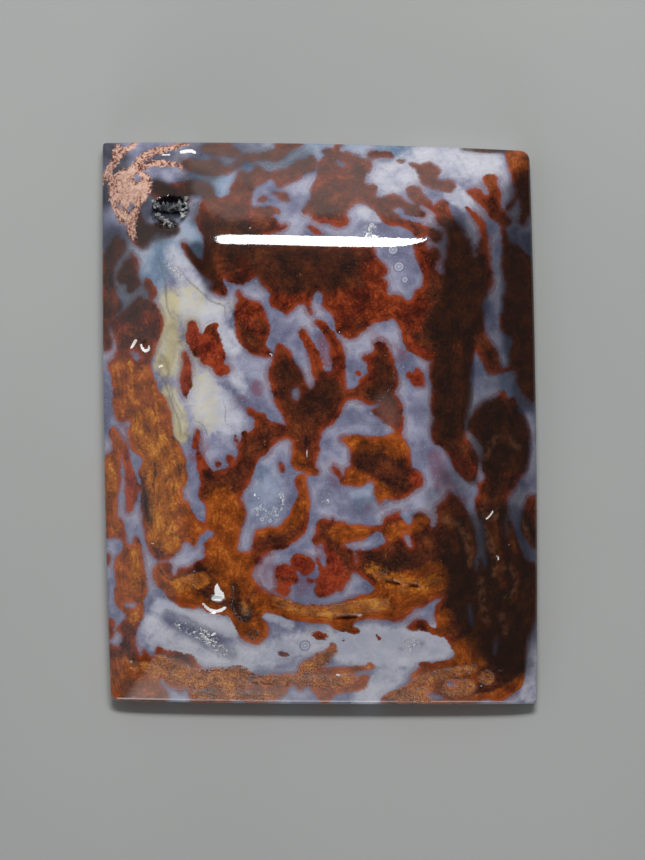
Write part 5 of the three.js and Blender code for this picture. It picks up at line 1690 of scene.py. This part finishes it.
    def plumes(self, g: Graph, n: Grains) -> Socket:
        """Colour inside the plumes: from a rusty rim to a darker body, broken up by grains, then the tones.

        Args:
            g: The material's graph.
            n: The noises.

        Returns:
            The colour.
        """
        rust = g.ramp(n.mixed, self.rust)
        rim = g.rise(g.math("ADD", n.clump, n.distance), 1.3, 0.5)
        rim = g.times(rim, g.scaled(g.value("dark_and_painted_shade"), -0.5, 0.6))
        colour = g.mix(rim, g.ramp(n.mixed, self.body), rust)
        colour = g.mix(self.mask(g, Tone.RUST, n.bush), colour, rust)
        orange = self.mask(g, Tone.ORANGE, n.bush)
        colour = g.mix(orange, colour, g.ramp(n.mixed, self.orange))
        colour = g.mix(self.mask(g, Tone.OCHRE, n.bits), colour, g.ramp(n.mixed, self.ochre))
        colour = g.mix(self.mask(g, Tone.RED, n.bits), colour, g.ramp(n.mixed, self.red))
        lip = g.rise(g.scaled(n.grain, 0.2, n.distance), 0.42, 0.16, g.rise(n.clump, 0.34, 0.6, 0.7))
        lip = g.times(lip, g.less(1.0, g.math("MAXIMUM", g.value("veil_and_painted_haze"), g.value("dark_and_painted_shade"))))
        colour = g.mix(lip, colour, g.mix(orange, self.lip, self.orange_lip))
        # Where the dark tone lies the plumes turn a dull near-black brown: their own dark colour, and painted
        # shade on the right flank and in the hollow.
        dull = g.mix(0.5, g.mix(1.0, colour, self.dull, "MULTIPLY"), self.gloom)
        colour = g.mix(g.rise(g.value("dark_and_painted_shade"), 0.0, 1.0, 0.9), colour, dull)
        ridge = g.times(g.value("ridge"), g.rise(n.bush, 0.36, 0.64, 0.8))
        colour = g.mix(ridge, colour, self.ridge)
        # Painted sparkle: tiny tan specks inside the plumes that stand for small pits catching the light.
        painted_sparkle = g.times(g.rise(n.grain, 0.65, 0.73), g.rise(n.bush, 0.5, 0.62, 0.7))
        return g.mix(g.times(painted_sparkle, g.less(1.0, g.value("dark_and_painted_shade"))), colour, self.painted_sparkle)

    def chalcedony(self, g: Graph, n: Grains) -> Socket:
        """Colour between the plumes: tones, then faint bands and a halo that follow the plume edges.

        A band is the sine of 26 times the distance plus 10 times a noise, and fades away from the edge.

        Args:
            g: The material's graph.
            n: The noises.

        Returns:
            The colour.
        """
        d = n.distance
        cloud = g.scaled(n.bush, 0.25, g.scaled(n.broad, 0.65, g.times(n.bits, 0.1)))
        colour = g.ramp(cloud, self.clear)
        colour = g.mix(self.mask(g, Tone.BLUE, n.bush, 0.8), colour, g.ramp(cloud, self.blue))
        colour = g.mix(self.mask(g, Tone.MILK, n.bush, 0.8), colour, g.ramp(cloud, self.milk))
        cream = g.times(self.mask(g, Tone.CREAM, n.bush, 1.2), 0.92)
        colour = g.mix(cream, colour, g.ramp(cloud, self.cream))
        colour = g.mix(g.times(self.mask(g, Tone.SLATE, n.bush, 1.8), 0.7), colour, self.slate)
        wave = g.math("SINE", g.scaled(d, 26.0, g.times(n.bush, 10.0)))
        fade = g.times(g.rise(d, -0.9, -0.1), g.rise(n.broad, 0.42, 0.6))
        band = g.times(g.times(wave, fade), 0.12)
        colour = g.mix(g.rise(band, 0.0, 0.3), colour, self.pale_band)
        colour = g.mix(g.rise(band, 0.0, -0.3), colour, self.deep_band)
        colour = g.mix(g.times(self.mask(g, Tone.MAUVE, n.bush), 0.75), colour, self.mauve)
        glow = g.times(g.rise(d, -0.9, -0.35), g.rise(d, -0.1, -0.35))
        colour = g.mix(g.times(glow, g.rise(n.broad, 0.4, 0.62, 0.3)), colour, self.glow)
        reach = g.scaled(g.rise(n.broad, 0.4, 0.6), -0.4, -0.12)
        plain = g.less(1.0, g.math("MAXIMUM", g.value("veil_and_painted_haze"), g.value("milk")))
        colour = g.mix(g.times(g.rise(d, reach, 0.02, 0.64), plain), colour, self.halo)
        colour = g.mix(g.rise(n.grain, 0.62, 0.7, 0.3), colour, self.fleck)
        line = g.rise(g.scaled(n.grain, 0.06, g.value("line")), -0.02, 0.05)
        colour = g.mix(g.times(line, 0.55), colour, self.line)
        orb = g.value("orb")
        colour = g.mix(g.rise(orb, 0.0, 0.12, 0.85), colour, g.ramp(orb, self.orb))
        # Painted shade: the dark tone also darkens the chalcedony, most of all on the right flank and in the
        # hollow.
        shade = g.scaled(g.value("dark_and_painted_shade"), -0.86, 1.0)
        grey = g.node("ShaderNodeCombineColor", None, Red=shade, Green=shade, Blue=shade).outputs[0]
        return g.mix(1.0, colour, grey, "MULTIPLY")


def clouds_group() -> bpy.types.ShaderNodeTree:
    """Makes the node group of the faint clouds of the quartz and the table, which puts out one colour.

    Returns:
        The group.
    """
    tree = bpy.data.node_groups.new("faint_clouds", "ShaderNodeTree")
    number, colour = "NodeSocketFloat", "NodeSocketColor"
    for name, kind in (("Scale", number), ("Deep", colour), ("Pale", colour)):
        tree.interface.new_socket(name, in_out="INPUT", socket_type=kind)
    tree.interface.new_socket("Colour", in_out="OUTPUT", socket_type=colour)
    g = Graph(tree)
    given = g.node("NodeGroupInput").outputs
    share = g.noise(g.node("ShaderNodeTexCoord").outputs["Object"], Noise(given["Scale"], 3))
    g.node("NodeGroupOutput", None, Colour=g.mix(g.rise(share, 0.35, 0.65), given["Deep"], given["Pale"]))
    return tree


@dataclass(frozen=True)
class CloudedLook:
    """A finish whose colour is made by the faint clouds, their scale per metre."""

    name: str
    scale: float
    deep: Shade
    pale: Shade
    roughness: float
    transmission: float = 0.0
    ior: float = 1.5

    def build(self, clouds: bpy.types.ShaderNodeTree) -> bpy.types.Material:
        """Makes the material.

        Args:
            clouds: The node group of the faint clouds.

        Returns:
            The material.
        """
        material = bpy.data.materials.new(self.name)
        material.use_nodes = True
        g = Graph(material.node_tree)
        inputs = {"Scale": self.scale, "Deep": self.deep, "Pale": self.pale}
        cloud = g.node("ShaderNodeGroup", {"node_tree": clouds}, **inputs)
        shader = next(n for n in material.node_tree.nodes if n.type == "BSDF_PRINCIPLED")
        own = {
            "Base Color": cloud.outputs["Colour"],
            "Roughness": self.roughness,
            "Transmission Weight": self.transmission,
            "IOR": self.ior,
        }
        for key, value in own.items():
            g.feed(shader.inputs[key], value)
        return material


QUARTZ_LOOK = CloudedLook("quartz", 2500.0, srgb(120, 124, 128), srgb(222, 224, 220), 0.06, 0.35, 1.54)
TABLE_LOOK = CloudedLook("pale_table", 20.0, srgb(165, 167, 165), srgb(170, 171, 169), 0.7)


Place = tuple[float, float, float]

# The bright bar on the shoulder, in millimetres on the drawing: each station's x, lower and upper edge.
BAR: tuple[Place, ...] = (
    (-6.94, 12.34, 12.52), (-6.84, 12.22, 12.64), (-6.6, 12.15, 12.7), (-6.2, 12.13, 12.72),
    (-5.0, 12.13, 12.73), (-3.7, 12.12, 12.72), (-2.4, 12.07, 12.7), (-1.2, 12.03, 12.67),
    (0.0, 12.0, 12.65), (1.2, 11.97, 12.63), (2.4, 11.95, 12.6), (3.6, 11.94, 12.57), (4.6, 11.95, 12.54),
    (5.4, 11.98, 12.51), (6.0, 12.06, 12.49), (6.5, 12.17, 12.47), (6.9, 12.28, 12.46), (7.2, 12.38, 12.44),
)


@dataclass(frozen=True)
class SoftLight:
    """A soft light of the surroundings: its direction, the cosine at which it begins, and its strength."""

    direction: Place
    start: float
    strength: float


@dataclass
class Studio:
    """Table, lights and camera. Lengths are in metres."""

    form: StoneForm
    clouds: bpy.types.ShaderNodeTree
    table_half: float = 0.6
    lamp_distance: float = 0.3
    lamp_radiance: float = 37.0
    dim_light: float = 0.07
    tint: Shade = (0.94, 0.97, 1.0, 1.0)
    soft_lights: tuple[SoftLight, ...] = (
        SoftLight((-1.0, 0.3, 0.15), 0.5, 0.5),
        SoftLight((0.0, 1.0, 0.2), 0.3, 0.35),
        SoftLight((-0.25, -1.0, 0.02), 0.88, 5.5),
    )
    lens: float = 150.0
    nearest_seen: float = 0.01

    @property
    def eye(self) -> np.ndarray:
        """Where the camera hangs, straight above the stone."""
        return np.array([*EYE_CENTRE, EYE_HEIGHT + self.form.girdle]) * MM

    def table(self) -> None:
        """Lays the table top under the stone."""
        half = self.table_half
        mesh = bpy.data.meshes.new("table_top")
        corners = [(-half, -half, 0), (half, -half, 0), (half, half, 0), (-half, half, 0)]
        mesh.from_pydata(corners, [], [(0, 1, 2, 3)])
        mesh.materials.append(TABLE_LOOK.build(self.clouds))
        place_mesh(mesh.name, mesh)

    def normal(self, x: float, y: float, step: float = 0.01) -> np.ndarray:
        """The face's normal: minus its slopes along x and y, and 1, made one long.

        Args:
            x: Place on the face in millimetres.
            y: Place on the face in millimetres.
            step: How far apart the heights are taken, in millimetres.

        Returns:
            The normal.
        """
        z = self.form.polished(np.array([x, x + step, x]), np.array([y, y, y + step]))
        n = np.array([z[0] - z[1], z[0] - z[2], step])
        return n / np.linalg.norm(n)

    def mirrored(self, x: float, y: float) -> np.ndarray:
        """Where a lamp lies whose reflection is seen at x and y of the drawing.

        The drawing's place is drawn in to the face by the eye's height less the face's over the eye's own.
        The lamp lies along the view mirrored in the normal there.

        Args:
            x: Place on the drawing in millimetres.
            y: Place on the drawing in millimetres.

        Returns:
            The place.
        """
        z = float(self.form.polished(np.full(1, x), np.full(1, y))[0])
        eye_x, eye_y, eye_z = self.eye / MM
        shrink = (eye_z - z) / (eye_z - self.form.girdle)
        x, y = eye_x + (x - eye_x) * shrink, eye_y + (y - eye_y) * shrink
        base = np.array([x, y, z]) * MM
        view = self.eye - base
        view /= np.linalg.norm(view)
        normal = self.normal(x, y)
        return base + self.lamp_distance * (2 * normal * float(normal @ view) - view)

    def lamp(self, name: str, near: Place, far: Place) -> None:
        """Hangs a lamp whose reflection is the bar between two stations.

        Its depth runs between the middles of that length's mirrored long sides, its back is the cross product
        of the depth and the line between the short sides, and its width is that line's share at a right angle
        to the depth.

        Args:
            name: The lamp's name.
            near: The first station.
            far: The second station.
        """
        low, high, far_low, far_high = (self.mirrored(x, y) for x, *edges in (near, far) for y in edges)
        across, along = (far_low + far_high - low - high) / 2, (high + far_high - low - far_low) / 2
        depth = float(np.linalg.norm(along))
        y_axis = along / depth
        back = np.cross(across, y_axis)
        back /= np.linalg.norm(back)
        if back @ low < 0:
            back = -back
        x_axis = np.cross(y_axis, back)
        light = bpy.data.lights.new(name, "AREA")
        light.shape = "RECTANGLE"
        light.size, light.size_y = abs(float(across @ x_axis)), depth
        light.energy = self.lamp_radiance * math.pi * light.size * depth
        lamp = bpy.data.objects.new(name, light)
        lamp.location = (low + high + far_low + far_high) / 4
        lamp.rotation_euler = Matrix([list(row) for row in np.stack([x_axis, y_axis, back], 1)]).to_euler()
        bpy.context.scene.collection.objects.link(lamp)
        log.info("%s: %.4f by %.4f m", name, light.size, depth)

    def world(self) -> None:
        """Surrounds the stone with soft light: dim all round, brighter from three sides."""
        world = bpy.data.worlds.new("studio")
        bpy.context.scene.world = world
        world.use_nodes = True
        g = Graph(world.node_tree)
        background = next(n for n in world.node_tree.nodes if n.type == "BACKGROUND")
        towards = g.node("ShaderNodeTexCoord").outputs["Generated"]
        light = self.dim_light
        for soft in self.soft_lights:
            lobe = g.node("ShaderNodeVectorMath", {"operation": "DOT_PRODUCT"})
            g.feed(lobe.inputs[0], towards)
            lobe.inputs[1].default_value = Vector(soft.direction).normalized()
            light = g.math("ADD", g.rise(lobe.outputs["Value"], soft.start, 1.0, soft.strength), light)
        background.inputs["Color"].default_value = self.tint
        g.feed(background.inputs["Strength"], light)

    def camera(self) -> None:
        """Hangs the camera straight above the stone and takes it as the scene's."""
        data = bpy.data.cameras.new("camera")
        data.lens = self.lens
        data.clip_start = self.nearest_seen
        camera = bpy.data.objects.new("camera", data)
        camera.location = self.eye
        bpy.context.scene.collection.objects.link(camera)
        bpy.context.scene.camera = camera
        bpy.context.scene.view_settings.view_transform = "Standard"

    def build(self) -> None:
        """Sets up the whole stage."""
        self.table()
        for index, (near, far) in enumerate(zip(BAR, BAR[1:])):
            self.lamp(f"bar_{index}", near, far)
        self.world()
        self.camera()


def main() -> None:
    """Builds the stone and the stage, and reports each piece."""
    logging.basicConfig(level=logging.INFO, format="%(message)s")
    form = StoneForm()
    stone = Stone(form, Canvas()).build()
    stone.data.materials.append(AgateLook().build())
    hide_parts("agate_cabochon")
    crust = QuartzCrust(form).build()
    clouds = clouds_group()
    crust.data.materials.append(QUARTZ_LOOK.build(clouds))
    for piece in (stone, crust):
        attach(piece, "root")
        log.info("%s: %d faces", piece.name, len(piece.data.polygons))
    Studio(form, clouds).build()


if __name__ == "__main__":
    main()
